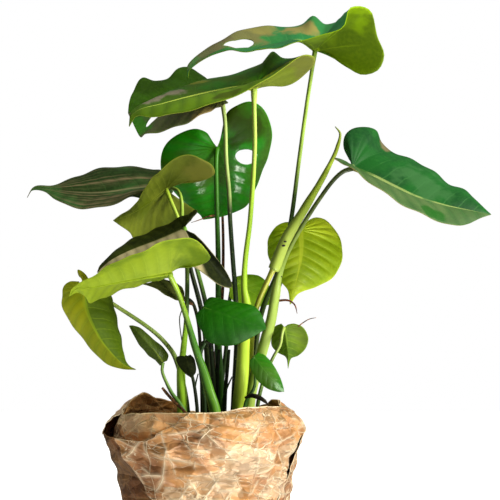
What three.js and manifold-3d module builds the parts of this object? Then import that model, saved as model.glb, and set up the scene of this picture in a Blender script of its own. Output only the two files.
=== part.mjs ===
// A young potted monstera: nineteen leaves on their petioles, standing in the soil of a plastic nursery
// pot that is wrapped in a crumpled brown paper bag. Millimetres, +Z up, origin at the middle of the
// flat underside of the bag.

import * as THREE from "three";
import { mergeVertices } from "three/addons/utils/BufferGeometryUtils.js";
import Module from "manifold-3d";

const wasm = await Module();
wasm.setup();

// Driving sizes.
const BAG = { base: 80, wall: 1.4, floor: 1.5, around: 36, crumple: 2.4 };
const POT = { top: 83, base: 60, bottomZ: 1.9, height: 155, wall: 1.6, rim: 3, drain: 9, drains: 4 };
const SOIL = { depth: 128, gap: 0.4, topZ: 146, mound: 5, lumps: 1.6 };
const BLADE = { thick: 0.8, rib: 1.3, seat: 0.3 };
const STEM = { sides: 6, gap: 0.35, stepLength: 30 };

// The leaves and stems are set out on a front drawing of the plant. A point on it is
// [steps across, steps down, depth in mm behind the middle of the pot]. The drawing is in
// perspective, from an eye 1.4 m in front, so a near thing is drawn larger than a far one.
const STEP_MM = 1.1;
const AXIS_ACROSS = 203.5;
const FLOOR_DOWN = 574;
const EYE = { x: 51, z: 356, distance: 1400 };

// Each blade has its midrib from where the petiole joins to the tip, and its two edges from the notch
// at the petiole, round the lobe, to just short of the tip. Left and right are as seen on the upper
// face with the tip pointing away. fan is the share of each edge whose veins start at the petiole.
// arch is how far each half bulges above its chord. splits are holes between two veins, each as
// [side, vein before it, first and last step out along the vein].
const LEAVES = {
  top: {
    midrib: [[315, 51, 20], [299, 41, 16], [278, 46, 10], [242, 51, 0], [226, 49, -5], [207, 57, -9],
      [189, 68, -12], [188, 79, -12]],
    left: [[331, 56, 12], [347, 68, 8], [362, 76, 2], [378, 71, -4], [384, 55, -12], [377, 36, -26],
      [372, 14, -42], [361, 5, -54], [349, 9, -63], [344, 25, -64], [322, 36, -60], [303, 48, -57],
      [290, 53, -54], [277, 48, -50], [242, 53, -36], [226, 51, -25], [207, 58, -16], [190, 70, -13]],
    right: [[324, 45, 34], [338, 33, 60], [343, 22, 80], [325, 24, 88], [313, 16, 88], [302, 25, 82],
      [284, 27, 76], [264, 27, 66], [246, 29, 52], [226, 38, 26], [207, 49, 5], [188, 65, -10]],
    fan: [0.62, 0.3], arch: [3, 3], splits: [["right", 9, 1, 2]],
  },
  broad: {
    midrib: [[254, 90, 0], [240, 88, -3], [214, 92, -8], [187, 98, -12], [160, 105, -17], [140, 110, -20],
      [131, 117, -21], [129, 127, -21]],
    left: [[268, 86, 4], [284, 86, -2], [300, 79, -10], [314, 66, -20], [314, 57, -34], [304, 55, -48],
      [288, 66, -60], [268, 78, -68], [250, 90, -72], [232, 97, -74], [214, 104, -74], [195, 109, -70],
      [171, 115, -60], [150, 117, -44], [136, 117, -30]],
    right: [[266, 78, 22], [284, 66, 45], [303, 55, 62], [291, 59, 74], [282, 59, 78], [272, 52, 80],
      [262, 63, 78], [240, 73, 72], [219, 77, 66], [200, 82, 56], [187, 85, 44], [160, 96, 18],
      [141, 105, -4], [131, 113, -18]],
    fan: [0.42, 0.34], arch: [2, 3], splits: [],
  },
  behind: {
    midrib: [[222, 99, 45], [205, 101, 46], [180, 105, 46], [155, 109, 42], [135, 112, 36], [128, 114, 34]],
    left: [[228, 103, 34], [222, 106, 22], [200, 116, 8], [185, 124, 2], [160, 132, -2], [145, 135, -2],
      [141, 138, 0], [136, 130, 8], [131, 120, 20]],
    right: [[229, 95, 56], [222, 88, 74], [208, 81, 92], [198, 73, 98], [187, 68, 100], [177, 69, 99],
      [167, 80, 92], [155, 81, 86], [143, 78, 84], [133, 92, 66], [129, 104, 48]],
    fan: [0.2, 0.3], arch: [2, 4], splits: [["left", 10, 1, 2]],
  },
  glossy: {
    midrib: [[217, 148, 75], [216, 165, 84], [215, 185, 97], [215, 203, 108], [213, 217, 112],
      [203, 220, 110]],
    left: [[221, 137, 68], [227, 113, 58], [238, 105, 56], [250, 102, 58], [261, 107, 64], [268, 118, 72],
      [272, 136, 82], [268, 156, 92], [262, 172, 98], [254, 192, 104], [246, 206, 108], [228, 215, 111]],
    right: [[211, 140, 70], [206, 133, 66], [194, 129, 62], [178, 135, 60], [166, 144, 64], [161, 157, 72],
      [162, 174, 84], [172, 190, 96], [186, 204, 106], [200, 215, 110]],
    fan: [0.5, 0.5], arch: [7, 7], splits: [["left", 5, 1, 2]],
  },
  dark_left: {
    midrib: [[170, 188, 32], [139, 189, 34], [110, 193, 34], [90, 194, 32], [66, 192, 28], [44, 189, 24],
      [33, 189, 22], [27, 198, 22]],
    left: [[173, 192, 40], [168, 197, 42], [155, 200, 34], [142, 198, 14], [130, 198, -2], [118, 203, -8],
      [99, 208, -8],
      [83, 209, -4], [68, 206, 2], [54, 199, 12], [44, 192, 20], [32, 191, 22]],
    right: [[173, 187, 44], [172, 178, 62], [160, 171, 76], [139, 168, 82], [121, 167, 82], [100, 169, 74],
      [82, 175, 62], [66, 181, 46], [52, 186, 32], [34, 187, 22]],
    fan: [0.24, 0.24], arch: [4, 4], splits: [],
  },
  olive: {
    midrib: [[166, 190, 14], [152, 201, 6], [135, 212, -4], [122, 218, -12], [113, 221, -16]],
    left: [[176, 184, 12], [195, 182, 10], [208, 179, 6], [215, 174, 0], [212, 166, -8], [203, 160, -14],
      [190, 155, -20], [176, 159, -22], [160, 171, -22], [148, 184, -22], [141, 196, -21], [132, 208, -20],
      [121, 215, -18]],
    right: [[180, 203, 42], [195, 211, 44], [188, 217, 42], [174, 223, 36], [152, 232, 22], [135, 240, 10],
      [130, 233, 2], [120, 226, -8]],
    fan: [0.62, 0.42], arch: [3, 3], splits: [],
  },
  tent: {
    midrib: [[184, 228, -38], [160, 237, -44], [129, 248, -50], [110, 259, -52], [97, 273, -52]],
    left: [[194, 234, -40], [204, 244, -40], [221, 264, -38], [232, 287, -38], [220, 285, -52],
      [206, 276, -62], [188, 264, -66], [168, 258, -70], [146, 256, -70], [125, 260, -64], [108, 268, -57]],
    right: [[191, 221, -28], [197, 211, -12], [186, 215, -4], [170, 223, -2], [150, 232, -8],
      [129, 241, -20], [112, 254, -36], [100, 266, -48]],
    fan: [0.5, 0.28], arch: [2, 3], splits: [],
  },
  bright: {
    midrib: [[169, 274, -84], [140, 279, -90], [112, 284, -94], [90, 288, -95], [76, 289, -94],
      [69, 297, -93]],
    left: [[184, 268, -84], [198, 266, -86], [207, 263, -90], [210, 257, -98], [200, 244, -110],
      [189, 239, -118], [175, 239, -126], [159, 244, -132], [142, 252, -134], [125, 259, -132],
      [111, 264, -126], [96, 275, -114], [82, 282, -102], [72, 289, -95]],
    right: [[172, 271, -78], [172, 277, -62], [156, 281, -52], [138, 286, -48], [120, 291, -50],
      [104, 298, -58], [90, 303, -70], [85, 297, -82], [77, 293, -92]],
    fan: [0.4, 0.24], arch: [5, 3], splits: [],
  },
  hanging: {
    midrib: [[82, 287, -34], [86, 310, -40], [98, 336, -40], [112, 354, -36], [124, 365, -32],
      [136, 370, -30]],
    left: [[90, 282, -26], [84, 274, -20], [78, 270, -18], [80, 277, -16], [94, 285, -10], [110, 296, -6],
      [117, 322, -8], [122, 345, -14], [125, 360, -24], [130, 367, -29]],
    right: [[79, 282, -28], [70, 282, -22], [64, 287, -16], [62, 302, -12], [66, 316, -14], [76, 330, -18],
      [90, 348, -22], [105, 363, -26], [121, 369, -29]],
    fan: [0.42, 0.26], arch: [4, 4], splits: [],
  },
  right: {
    midrib: [[352, 169, -8], [370, 176, -14], [393, 187, -20], [415, 197, -24], [445, 206, -24],
      [470, 211, -20], [491, 215, -14]],
    left: [[349, 160, 0], [344, 148, 8], [345, 136, 16], [354, 129, 26], [367, 127, 34], [376, 131, 40],
      [381, 143, 46], [396, 154, 48], [414, 161, 46], [432, 171, 38], [450, 185, 26], [467, 192, 12],
      [481, 206, -6]],
    right: [[345, 164, -18], [334, 159, -36], [338, 161, -52], [352, 169, -64], [370, 183, -72],
      [390, 197, -74], [408, 208, -70], [430, 218, -62], [453, 226, -50], [468, 224, -36], [482, 218, -22]],
    fan: [0.42, 0.3], arch: [5, 3], splits: [],
  },
  heart: {
    midrib: [[300, 230, 34], [301, 245, 32], [300, 262, 32], [296, 281, 36], [292, 296, 40],
      [290, 305, 42]],
    left: [[306, 222, 40], [316, 218, 46], [326, 221, 50], [336, 232, 52], [342, 248, 52], [340, 266, 50],
      [331, 279, 48], [316, 287, 46], [298, 294, 42]],
    right: [[294, 223, 38], [284, 223, 42], [274, 229, 46], [268, 241, 48], [268, 254, 48], [273, 269, 46],
      [282, 283, 44], [288, 291, 42]],
    fan: [0.38, 0.38], arch: [4, 4], splits: [],
  },
  back: {
    midrib: [[233, 283, 40], [243, 288, 44], [254, 294, 46], [264, 300, 46], [270, 305, 46]],
    left: [[236, 277, 42], [246, 275, 44], [258, 276, 46], [267, 283, 46], [271, 295, 46]],
    right: [[229, 288, 40], [231, 299, 42], [241, 306, 44], [254, 308, 46], [264, 306, 46]],
    fan: [0.3, 0.3], arch: [2, 2], splits: [],
  },
  centre: {
    midrib: [[204, 308, -40], [217, 311, -46], [233, 317, -50], [250, 323, -50], [264, 329, -48],
      [271, 332, -46]],
    left: [[204, 303, -36], [210, 298, -34], [219, 299, -36], [232, 302, -38], [248, 305, -40],
      [260, 311, -43], [264, 322, -46]],
    right: [[199, 311, -38], [196, 317, -38], [201, 330, -40], [208, 341, -42], [222, 346, -44],
      [237, 344, -46], [251, 338, -47], [262, 332, -47]],
    fan: [0.3, 0.28], arch: [3, 3], splits: [],
  },
  small_right: {
    midrib: [[284, 328, -14], [286, 340, -12], [288, 355, -12], [288, 369, -12]],
    left: [[281, 324, -8], [275, 327, -2], [272, 337, 2], [272, 347, 0], [278, 353, -4], [286, 358, -10]],
    right: [[288, 325, -12], [294, 324, -14], [303, 328, -14], [308, 338, -12], [306, 348, -10],
      [298, 356, -10], [291, 359, -11]],
    fan: [0.3, 0.3], arch: [2, 3], splits: [],
  },
  small_glossy: {
    midrib: [[254, 357, -38], [262, 367, -42], [272, 379, -42], [279, 387, -40], [284, 392, -38]],
    left: [[258, 353, -36], [265, 356, -38], [273, 365, -40], [280, 378, -40], [283, 387, -39]],
    right: [[250, 360, -36], [250, 367, -36], [257, 380, -38], [266, 388, -38], [277, 392, -38]],
    fan: [0.25, 0.25], arch: [2, 2], splits: [],
  },
  small_left: {
    midrib: [[163, 363, -20], [155, 352, -22], [145, 341, -22], [136, 331, -20], [129, 326, -18]],
    left: [[160, 366, -16], [156, 361, -12], [148, 355, -12], [138, 343, -14], [132, 332, -17]],
    right: [[167, 361, -18], [168, 355, -16], [162, 347, -14], [151, 338, -14], [141, 329, -16],
      [133, 326, -18]],
    fan: [0.25, 0.25], arch: [2, 2], splits: [],
  },
  small_dark: {
    midrib: [[186, 357, -26], [188, 364, -28], [190, 371, -29], [191, 378, -29]],
    left: [[190, 355, -24], [194, 359, -25], [196, 369, -27], [195, 374, -28]],
    right: [[181, 356, -25], [176, 358, -24], [178, 365, -25], [184, 373, -27]],
    fan: [0.28, 0.28], arch: [1, 1], splits: [],
  },
  narrow: {
    midrib: [[184, 298, 16], [172, 293, 14], [160, 287, 12], [150, 285, 12], [140, 284, 12]],
    left: [[182, 302, 12], [175, 300, 8], [165, 295, 6], [156, 289, 8], [148, 286, 10]],
    right: [[184, 292, 22], [180, 286, 26], [169, 281, 26], [158, 279, 22], [150, 283, 14]],
    fan: [0.2, 0.2], arch: [1, 1], splits: [],
  },
};

// Each stem runs from the soil upwards. A point is [across, down, depth, radius in mm]. A stem that
// carries a blade ends at that blade's petiole joint.
const STEMS = {
  top: [[246, 455, 24, 4], [250, 400, 20, 3.6], [257, 335, 17, 3.2], [263, 308, 15, 3], [278, 271, 15, 2.8],
    [286, 242, 16, 2.6], [291, 220, 16, 2.5], [299, 160, 16, 2.3], [306, 109, 18, 2.2],
    [312, 70, 20, 2.2], [315, 51, 20, 2.8]],
  broad: [[238, 455, -15, 7.6], [239, 406, -15, 7.4], [242, 377, -15, 7.2], [244, 340, -15, 6.6],
    [246, 306, -14, 5], [244, 288, -13, 3.4], [245, 261, -11, 2.9], [250, 220, -8, 2.7],
    [254.5, 149, -4, 2.5], [254, 108, -1, 2.6], [254, 90, 0, 3.6]],
  behind: [[231, 455, 14, 3.6], [234, 400, 12, 3.4], [237, 330, 10, 3], [235, 290, 12, 2.7],
    [233, 265, 15, 2.6], [230, 220, 20, 2.5], [229, 193, 24, 2.5], [226, 160, 30, 2.4],
    [225, 124, 38, 2.3], [222, 99, 45, 2.8]],
  glossy: [[222, 455, 28, 4.6], [221, 391, 28, 4.4], [218, 346, 32, 4.2], [218, 295, 40, 3.2],
    [218, 257, 48, 2.9], [217, 215, 58, 2.7], [216, 176, 66, 2.6], [216, 160, 69, 2.6],
    [217, 148, 75, 3]],
  dark_left: [[210, 455, 16, 3.4], [209, 400, 15, 3.2], [206, 345, 13, 3], [201, 310, 12, 2.7],
    [190, 267, 12, 2.4], [184, 236, 12, 2.2], [182, 218, 12, 2.1], [181.5, 202, 12, 2],
    [178, 191, 22, 1.9], [170, 188, 32, 2.2]],
  olive: [[181, 455, -10, 5.8], [182, 405, -10, 5.4], [181, 372, -8, 4.8], [183, 352, -6, 3.4],
    [186, 320, -2, 2.6], [187, 267, 2, 2.4], [184, 240, 2, 2.2], [178, 219, 3, 2.2],
    [171, 202, 5, 2.2], [166, 190, 14, 2.6]],
  tent: [[214, 455, -6, 3.2], [214, 400, -4, 3], [211, 348, 0, 2.8], [206, 307, -3, 2.6],
    [197, 270, -14, 2.4], [190, 246, -26, 2.2], [184, 228, -38, 2.6]],
  bright: [[221, 455, -56, 6.4], [215, 411, -54, 6], [209, 391, -52, 5.4], [204, 374, -52, 4.8],
    [195, 348, -54, 3.8], [187, 320, -60, 3], [178, 293, -70, 2.6], [169, 274, -84, 2.8]],
  hanging: [[190, 455, 12, 3.2], [186, 400, 10, 3], [175, 358, 6, 2.7], [163, 341, 4, 2.4],
    [147, 327, 0, 2.3], [114, 305, -4, 2.2], [96, 293, -12, 2.1], [82, 287, -34, 2.6]],
  right: [[252, 455, -4, 6.4], [256, 400, -5, 6.2], [264, 348, -6, 5.8], [270, 324, -6, 5.6],
    [275, 296, -5, 5.2], [279, 275, 1, 3.7], [286, 256, 5, 2.8], [297, 235, 4, 2.5],
    [309, 215, 2, 2.4], [321, 197, 0, 2.3], [333, 181, -3, 2.3], [343, 172, -6, 2.4],
    [352, 169, -8, 2.8]],
  heart: [[244, 455, 38, 3.2], [247, 400, 40, 3], [262, 340, 52, 2.6], [278, 290, 62, 2.3],
    [291, 255, 60, 2.1], [298, 238, 48, 2], [300, 230, 34, 2.4]],
  back: [[214, 455, 42, 2.8], [221, 386, 44, 2.6], [226, 348, 46, 2.4], [229, 305, 50, 2.2],
    [231, 291, 48, 2], [233, 283, 40, 2.2]],
  centre: [[206, 455, -30, 2.6], [204, 400, -30, 2.4], [200, 366, -28, 2.2], [201, 351, -26, 2.1],
    [205, 342, -26, 2], [204, 324, -28, 1.9], [203, 313, -32, 1.9], [204, 308, -40, 2.1]],
  small_right: [[256, 455, -22, 2.4], [257, 410, -22, 2.2], [264, 378, -22, 2], [273, 358, -22, 1.8],
    [280, 345, -23, 1.7], [282, 334, -22, 1.6], [284, 328, -14, 1.8]],
  small_glossy: [[243, 455, -34, 2.2], [245, 405, -30, 2], [254, 388, -29, 1.8], [255, 374, -29, 1.6],
    [254, 362, -31, 1.6], [254, 357, -38, 1.8]],
  small_left: [[195, 455, -32, 2.6], [186, 416, -30, 2.4], [179, 403, -28, 2.2], [172, 394, -26, 2.1],
    [165, 380, -24, 1.8], [162, 371, -21, 1.7], [163, 363, -20, 1.9]],
  small_dark: [[199, 455, -18, 2.2], [197, 410, -18, 2], [193, 380, -16, 1.8], [188, 366, -16, 1.6],
    [186, 360, -19, 1.6], [186, 357, -26, 1.7]],
  narrow: [[202, 455, 30, 2.4], [202, 400, 28, 2.2], [199, 330, 24, 1.9], [194, 306, 22, 1.9],
    [189, 300, 19, 2.2], [184, 298, 16, 1.6]],
  spear: [[247, 455, 6, 4.2], [249, 400, 5, 3.8], [252, 330, 4, 3.2], [258, 303, 1, 3], [270, 276, -7, 3],
    [274, 268, -9, 3.6], [276, 265, -10, 6.4], [286, 240, -12, 6.2], [304, 210, -14, 4.9],
    [321, 181, -14, 3.3], [333, 158, -14, 2.3], [337, 148, -14, 2.1], [340, 134, -13, 1.3],
    [335, 127, -12, 0.5]],
  brown: [[206, 455, 56, 2.2], [209, 400, 58, 2.1], [216, 350, 64, 2], [222, 298, 76, 1.9],
    [223, 266, 92, 1.8], [223, 235, 112, 1.7], [222, 205, 124, 1.5]],
};

const COLOURS = {
  blade: { top: 0x3f7c3a, broad: 0x3d7f2c, behind: 0x2f6b24, glossy: 0x2c8416, dark_left: 0x2b4a35,
    olive: 0x7d8a35, tent: 0x2a3a22, bright: 0x93b53a, hanging: 0x7d9426, right: 0x2f7440,
    heart: 0x84992a, back: 0x4f7a24, centre: 0x2a7a12, small_right: 0x86a53f, small_glossy: 0x2f7d2a,
    small_left: 0x4a6b2a, small_dark: 0x26331c, narrow: 0x35402a },
  petiole: 0x8db547,
  brown: 0x4a3325,
  paper: 0xc79a68,
  pot: 0x5a4035,
  soil: 0x2e2219,
};

// Geometry helpers.

function place([across, down, depth]) {
  const x = (across - AXIS_ACROSS) * STEP_MM;
  const z = (FLOOR_DOWN - down) * STEP_MM;
  const spread = (EYE.distance + depth) / EYE.distance;
  return new THREE.Vector3(EYE.x + (x - EYE.x) * spread, depth, EYE.z + (z - EYE.z) * spread);
}

// A smooth line through the points. It is asked for a place by its share of the chord length.
function smoothLine(points) {
  const at = [0];
  for (let k = 1; k < points.length; k++) {
    at.push(at[k - 1] + points[k].distanceTo(points[k - 1]));
  }
  const last = points.length - 1;
  const slopes = points.map((_, k) => {
    const before = Math.max(k - 1, 0);
    const after = Math.min(k + 1, last);
    return points[after].clone().sub(points[before]).divideScalar(at[after] - at[before]);
  });
  return (share) => {
    const d = share * at[last];
    let k = 0;
    while (k < last - 1 && at[k + 1] < d) k++;
    const len = at[k + 1] - at[k];
    const u = (d - at[k]) / len;
    const u2 = u * u;
    const u3 = u2 * u;
    const p = points[k].clone().multiplyScalar(2 * u3 - 3 * u2 + 1);
    p.addScaledVector(slopes[k], (u3 - 2 * u2 + u) * len);
    p.addScaledVector(points[k + 1], -2 * u3 + 3 * u2);
    return p.addScaledVector(slopes[k + 1], (u3 - u2) * len);
  };
}

// The mean normal of a closed outline.
function outlineNormal(points) {
  const n = new THREE.Vector3();
  points.forEach((p, k) => {
    const q = points[(k + 1) % points.length];
    n.x += (p.y - q.y) * (p.z + q.z);
    n.y += (p.z - q.z) * (p.x + q.x);
    n.z += (p.x - q.x) * (p.y + q.y);
  });
  return n.normalize();
}

function solidFrom(positions, triangles) {
  return new wasm.Manifold(new wasm.Mesh({
    numProp: 3,
    vertProperties: new Float32Array(positions.flatMap((p) => [p.x, p.y, p.z])),
    triVerts: new Uint32Array(triangles.flat()),
  }));
}

function solidFromGeometry(geometry) {
  const bare = geometry.index ? geometry.clone() : geometry;
  bare.deleteAttribute("normal");
  bare.deleteAttribute("uv");
  const merged = mergeVertices(bare, 1e-4);
  return new wasm.Manifold(new wasm.Mesh({
    numProp: 3,
    vertProperties: new Float32Array(merged.attributes.position.array),
    triVerts: new Uint32Array(merged.index.array),
  }));
}

function geometryFrom(solid) {
  const mesh = solid.getMesh();
  const geometry = new THREE.BufferGeometry();
  geometry.setAttribute("position", new THREE.BufferAttribute(mesh.vertProperties, 3));
  geometry.setIndex(new THREE.BufferAttribute(mesh.triVerts, 1));
  geometry.computeVertexNormals();
  return geometry;
}

// A blade: veins run from the midrib to each edge, and the points along them make the sheet.
const VEIN_STOPS = [0, 0.09, 0.42, 0.74, 1];

function bladeSheet(spec, fine) {
  const rib = smoothLine(spec.midrib.map(place));
  const start = rib(0);
  const tip = rib(1);
  const fanned = fine ? 5 : 3;
  const onRib = fine ? 9 : 6;
  const stops = fine ? VEIN_STOPS : [0, 0.4, 1];
  const points = [];
  const ids = new Map();
  const addPoint = (key, make) => {
    if (!ids.has(key)) {
      ids.set(key, points.length);
      points.push(make());
    }
    return ids.get(key);
  };
  const grids = ["left", "right"].map((side, s) => {
    const edgePoints = [...spec[side].map(place), tip];
    const edge = smoothLine(edgePoints);
    const ribPoints = spec.midrib.map(place);
    const ring = side === "left"
      ? [...ribPoints, ...edgePoints.slice(0, -1).reverse()]
      : [ribPoints[0], ...edgePoints, ...ribPoints.slice(1, -1).reverse()];
    const up = outlineNormal(ring);
    const grid = [];
    for (let i = 0; i <= fanned + onRib; i++) {
      const along = Math.max(i - fanned, 0) / onRib;
      const share = i < fanned ? spec.fan[s] * i / fanned : spec.fan[s] + (1 - spec.fan[s]) * along;
      const root = rib(along);
      const end = edge(share);
      const chord = end.clone().sub(root);
      grid.push(stops.map((v, j) => {
        if (i === fanned + onRib) return addPoint("tip", () => tip.clone());
        if (j === 0) return addPoint(`rib${Math.max(i, fanned)}`, () => root.clone());
        return addPoint(`${side}${i}_${j}`, () => root.clone().addScaledVector(chord, v)
          .addScaledVector(up, spec.arch[s] * 4 * v * (1 - v) * Math.min(1, chord.length() / 40)));
      }));
    }
    return grid;
  });
  const skipped = new Set(spec.splits.flatMap(([side, column, from, to]) => {
    const rows = [];
    for (let j = from; j <= to; j++) rows.push(`${side}${column}_${j}`);
    return rows;
  }));
  const triangles = [];
  grids.forEach((grid, s) => {
    for (let i = 0; i < grid.length - 1; i++) {
      for (let j = 0; j < stops.length - 1; j++) {
        if (fine && skipped.has(`${s === 0 ? "left" : "right"}${i}_${j}`)) continue;
        const [a, b, c, d] = [grid[i][j], grid[i + 1][j], grid[i + 1][j + 1], grid[i][j + 1]];
        const pair = s === 0 ? [[a, b, c], [a, c, d]] : [[a, c, b], [a, d, c]];
        triangles.push(...pair.filter((t) => new Set(t).size === 3));
      }
    }
  });
  const ribShare = new Map();
  grids[0].forEach((row, i) => ribShare.set(row[0], 1 - Math.max(i - fanned, 0) / onRib));
  return { points, triangles, ribShare, start };
}

function bladeSolid(name, extra) {
  const { points, triangles, ribShare } = bladeSheet(LEAVES[name], !SMALL.has(name));
  const normals = points.map(() => new THREE.Vector3());
  triangles.forEach(([a, b, c]) => {
    const n = points[b].clone().sub(points[a]).cross(points[c].clone().sub(points[a]));
    [a, b, c].forEach((k) => normals[k].add(n));
  });
  normals.forEach((n) => n.normalize());
  const edges = new Set(triangles.flatMap(([a, b, c]) => [`${a},${b}`, `${b},${c}`, `${c},${a}`]));
  const rims = [...edges].map((e) => e.split(",").map(Number)).filter(([a, b]) => !edges.has(`${b},${a}`));
  const outward = points.map(() => new THREE.Vector3());
  rims.forEach(([a, b]) => {
    const out = points[b].clone().sub(points[a]).cross(normals[a]).normalize();
    [a, b].forEach((k) => outward[k].add(out));
  });
  points.forEach((p, k) => p.addScaledVector(outward[k].normalize(), extra));
  const half = BLADE.thick / 2 + extra;
  const upper = points.map((p, k) => p.clone().addScaledVector(normals[k], half));
  const lower = points.map((p, k) =>
    p.clone().addScaledVector(normals[k], -half - BLADE.rib * (ribShare.get(k) ?? 0)));
  const count = points.length;
  const faces = [...triangles, ...triangles.map(([a, b, c]) => [a + count, c + count, b + count])];
  rims.forEach(([a, b]) => faces.push([b, a, a + count], [b, a + count, b + count]));
  return solidFrom([...upper, ...lower], faces);
}

const SMALL = new Set(["back", "centre", "small_right", "small_glossy", "small_left", "small_dark",
  "narrow"]);

// A stem: a closed cylinder bent along its line, with its own thickness at each step. It can be grown
// all over by extra, and stopped short of its last point by shorten.
function stemSolid(points, extra, shorten) {
  const placed = points.map(place);
  const line = smoothLine(placed);
  const at = [0];
  placed.slice(1).forEach((p, k) => at.push(at[k] + p.distanceTo(placed[k])));
  const length = at[at.length - 1];
  const used = 1 - shorten / length;
  const thick = (share) => {
    const k = Math.max(at.findIndex((d) => d >= share * length), 1) - 1;
    const u = (share * length - at[k]) / (at[k + 1] - at[k]);
    return points[k][3] + (points[k + 1][3] - points[k][3]) * u;
  };
  const steps = Math.max(6, Math.round(length / STEM.stepLength));
  const geometry = new THREE.CylinderGeometry(1, 1, 1, STEM.sides, steps);
  geometry.deleteAttribute("normal");
  geometry.deleteAttribute("uv");
  const tube = mergeVertices(geometry, 1e-4);
  const position = tube.attributes.position;
  for (let k = 0; k < position.count; k++) {
    const height = position.getY(k);
    const share = (height + 0.5) * used;
    const centre = line(share);
    const ahead = line(Math.min(share + 0.004, 1)).sub(line(Math.max(share - 0.004, 0))).normalize();
    const side = ahead.clone().cross(new THREE.Vector3(0, 1, 0)).normalize();
    const front = side.clone().cross(ahead);
    const r = thick(share) + extra;
    if (Math.abs(height) > 0.499) centre.addScaledVector(ahead, 2 * height * extra);
    centre.addScaledVector(side, position.getX(k) * r).addScaledVector(front, position.getZ(k) * r);
    position.setXYZ(k, centre.x, centre.y, centre.z);
  }
  return solidFromGeometry(tube);
}

// The bag: one crumpled wall of paper with a flat floor, and a rolled cuff round its top.
function bagRadius(r, z, angle) {
  const rise = Math.min(z / 40, 1);
  const creases = Math.sin(5 * angle + 0.045 * z) + 0.8 * Math.sin(9 * angle - 0.08 * z + 1.3)
    + 0.6 * Math.sin(14 * angle + 0.11 * z + 4.1);
  return r + BAG.crumple * rise * creases / 1.6;
}

function rimDrop(z, angle) {
  const share = Math.max(z - 150, 0) / 40;
  const rightSide = Math.exp(-((angle / 0.55) ** 2));
  return share * (16 * rightSide + 3 * Math.sin(3 * angle + 0.6) + 2 * Math.sin(7 * angle));
}

function bagSolid() {
  const outer = [[BAG.base, 0], [84, 20], [90, 50], [95, 80], [101, 110], [105, 134], [106, 143], [111, 148],
    [112, 158], [108, 171], [99, 182], [89, 188]];
  const inner = outer.slice(1).reverse().map(([r, z]) => [r - BAG.wall, z > 180 ? z - 0.8 : z])
    .concat([[BAG.base - BAG.wall, BAG.floor]]);
  const rows = [...outer, ...inner];
  const points = [new THREE.Vector3(0, 0, 0)];
  rows.forEach(([r, z]) => {
    for (let k = 0; k < BAG.around; k++) {
      const angle = Math.PI * (2 * k / BAG.around - 1);
      const wide = bagRadius(r, z, angle);
      points.push(new THREE.Vector3(Math.cos(angle) * wide, Math.sin(angle) * wide,
        z - rimDrop(z, angle)));
    }
  });
  points.push(new THREE.Vector3(0, 0, BAG.floor));
  const at = (row, k) => 1 + row * BAG.around + (k % BAG.around);
  const faces = [];
  for (let k = 0; k < BAG.around; k++) {
    faces.push([0, at(0, k + 1), at(0, k)]);
    for (let row = 0; row < rows.length - 1; row++) {
      const [a, b, c, d] = [at(row, k), at(row, k + 1), at(row + 1, k + 1), at(row + 1, k)];
      faces.push([a, b, c], [a, c, d]);
    }
    faces.push([points.length - 1, at(rows.length - 1, k), at(rows.length - 1, k + 1)]);
  }
  return solidFrom(points, faces);
}

// The nursery pot: a tapered plastic pot with a rolled rim and drain holes in its floor.
function potSolid() {
  const { base, top, wall, rim, bottomZ, height } = POT;
  const topZ = bottomZ + height;
  const profile = [[0, bottomZ], [base, bottomZ], [top - rim, topZ - 14], [top, topZ - 13], [top, topZ],
    [top - rim - wall, topZ], [top - rim - wall, topZ - 13], [base - wall, bottomZ + wall],
    [0, bottomZ + wall]];
  const shell = new THREE.LatheGeometry(profile.map(([r, z]) => new THREE.Vector2(r, z)), 32);
  shell.rotateX(Math.PI / 2);
  let pot = solidFromGeometry(shell);
  for (let k = 0; k < POT.drains; k++) {
    const angle = Math.PI * (2 * k + 1) / POT.drains;
    const hole = new THREE.CylinderGeometry(POT.drain / 2, POT.drain / 2, 6, 10).rotateX(Math.PI / 2);
    hole.translate(Math.cos(angle) * base * 0.6, Math.sin(angle) * base * 0.6, bottomZ + wall / 2);
    pot = pot.subtract(solidFromGeometry(hole));
  }
  return pot;
}

// The soil fills the pot to just under its rim, with a low lumpy mound on top.
function soilSolid() {
  const { base, top, wall, rim, bottomZ, height } = POT;
  const lowZ = bottomZ + wall + SOIL.gap;
  const innerAt = (z) => base - wall + (top - rim - base) * (z - bottomZ) / (height - 14) - SOIL.gap;
  const profile = [[0, lowZ], [innerAt(lowZ) - 0.6, lowZ], [innerAt(SOIL.topZ - 8) - 0.6, SOIL.topZ - 8]];
  const rings = [[0.97, 0], [0.8, 0.35], [0.6, 0.6], [0.4, 0.85], [0.2, 0.95], [0, 1]];
  rings.forEach(([share, rise]) =>
    profile.push([share * (innerAt(SOIL.topZ) - 1), SOIL.topZ - SOIL.mound + SOIL.mound * rise]));
  const mass = new THREE.LatheGeometry(profile.map(([r, z]) => new THREE.Vector2(r, z)), 28);
  mass.rotateX(Math.PI / 2);
  const position = mass.attributes.position;
  for (let k = 0; k < position.count; k++) {
    const [x, y, z] = [position.getX(k), position.getY(k), position.getZ(k)];
    const lump = Math.sin(0.21 * x + 1) * Math.cos(0.17 * y) + 0.6 * Math.sin(0.33 * y + 0.12 * x);
    if (z > SOIL.topZ - SOIL.mound - 1) position.setZ(k, z + SOIL.lumps * lump * 0.6);
  }
  return solidFromGeometry(mass);
}

// The plant stands in the soil: each stem sits in a hole of its own shape, a little wider than it.
const plant = new THREE.Group();

function addPiece(name, solid, colour, roughness) {
  const material = new THREE.MeshStandardMaterial({ color: colour, roughness, metalness: 0 });
  const mesh = new THREE.Mesh(geometryFrom(solid), material);
  mesh.name = name;
  plant.add(mesh);
}

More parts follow.
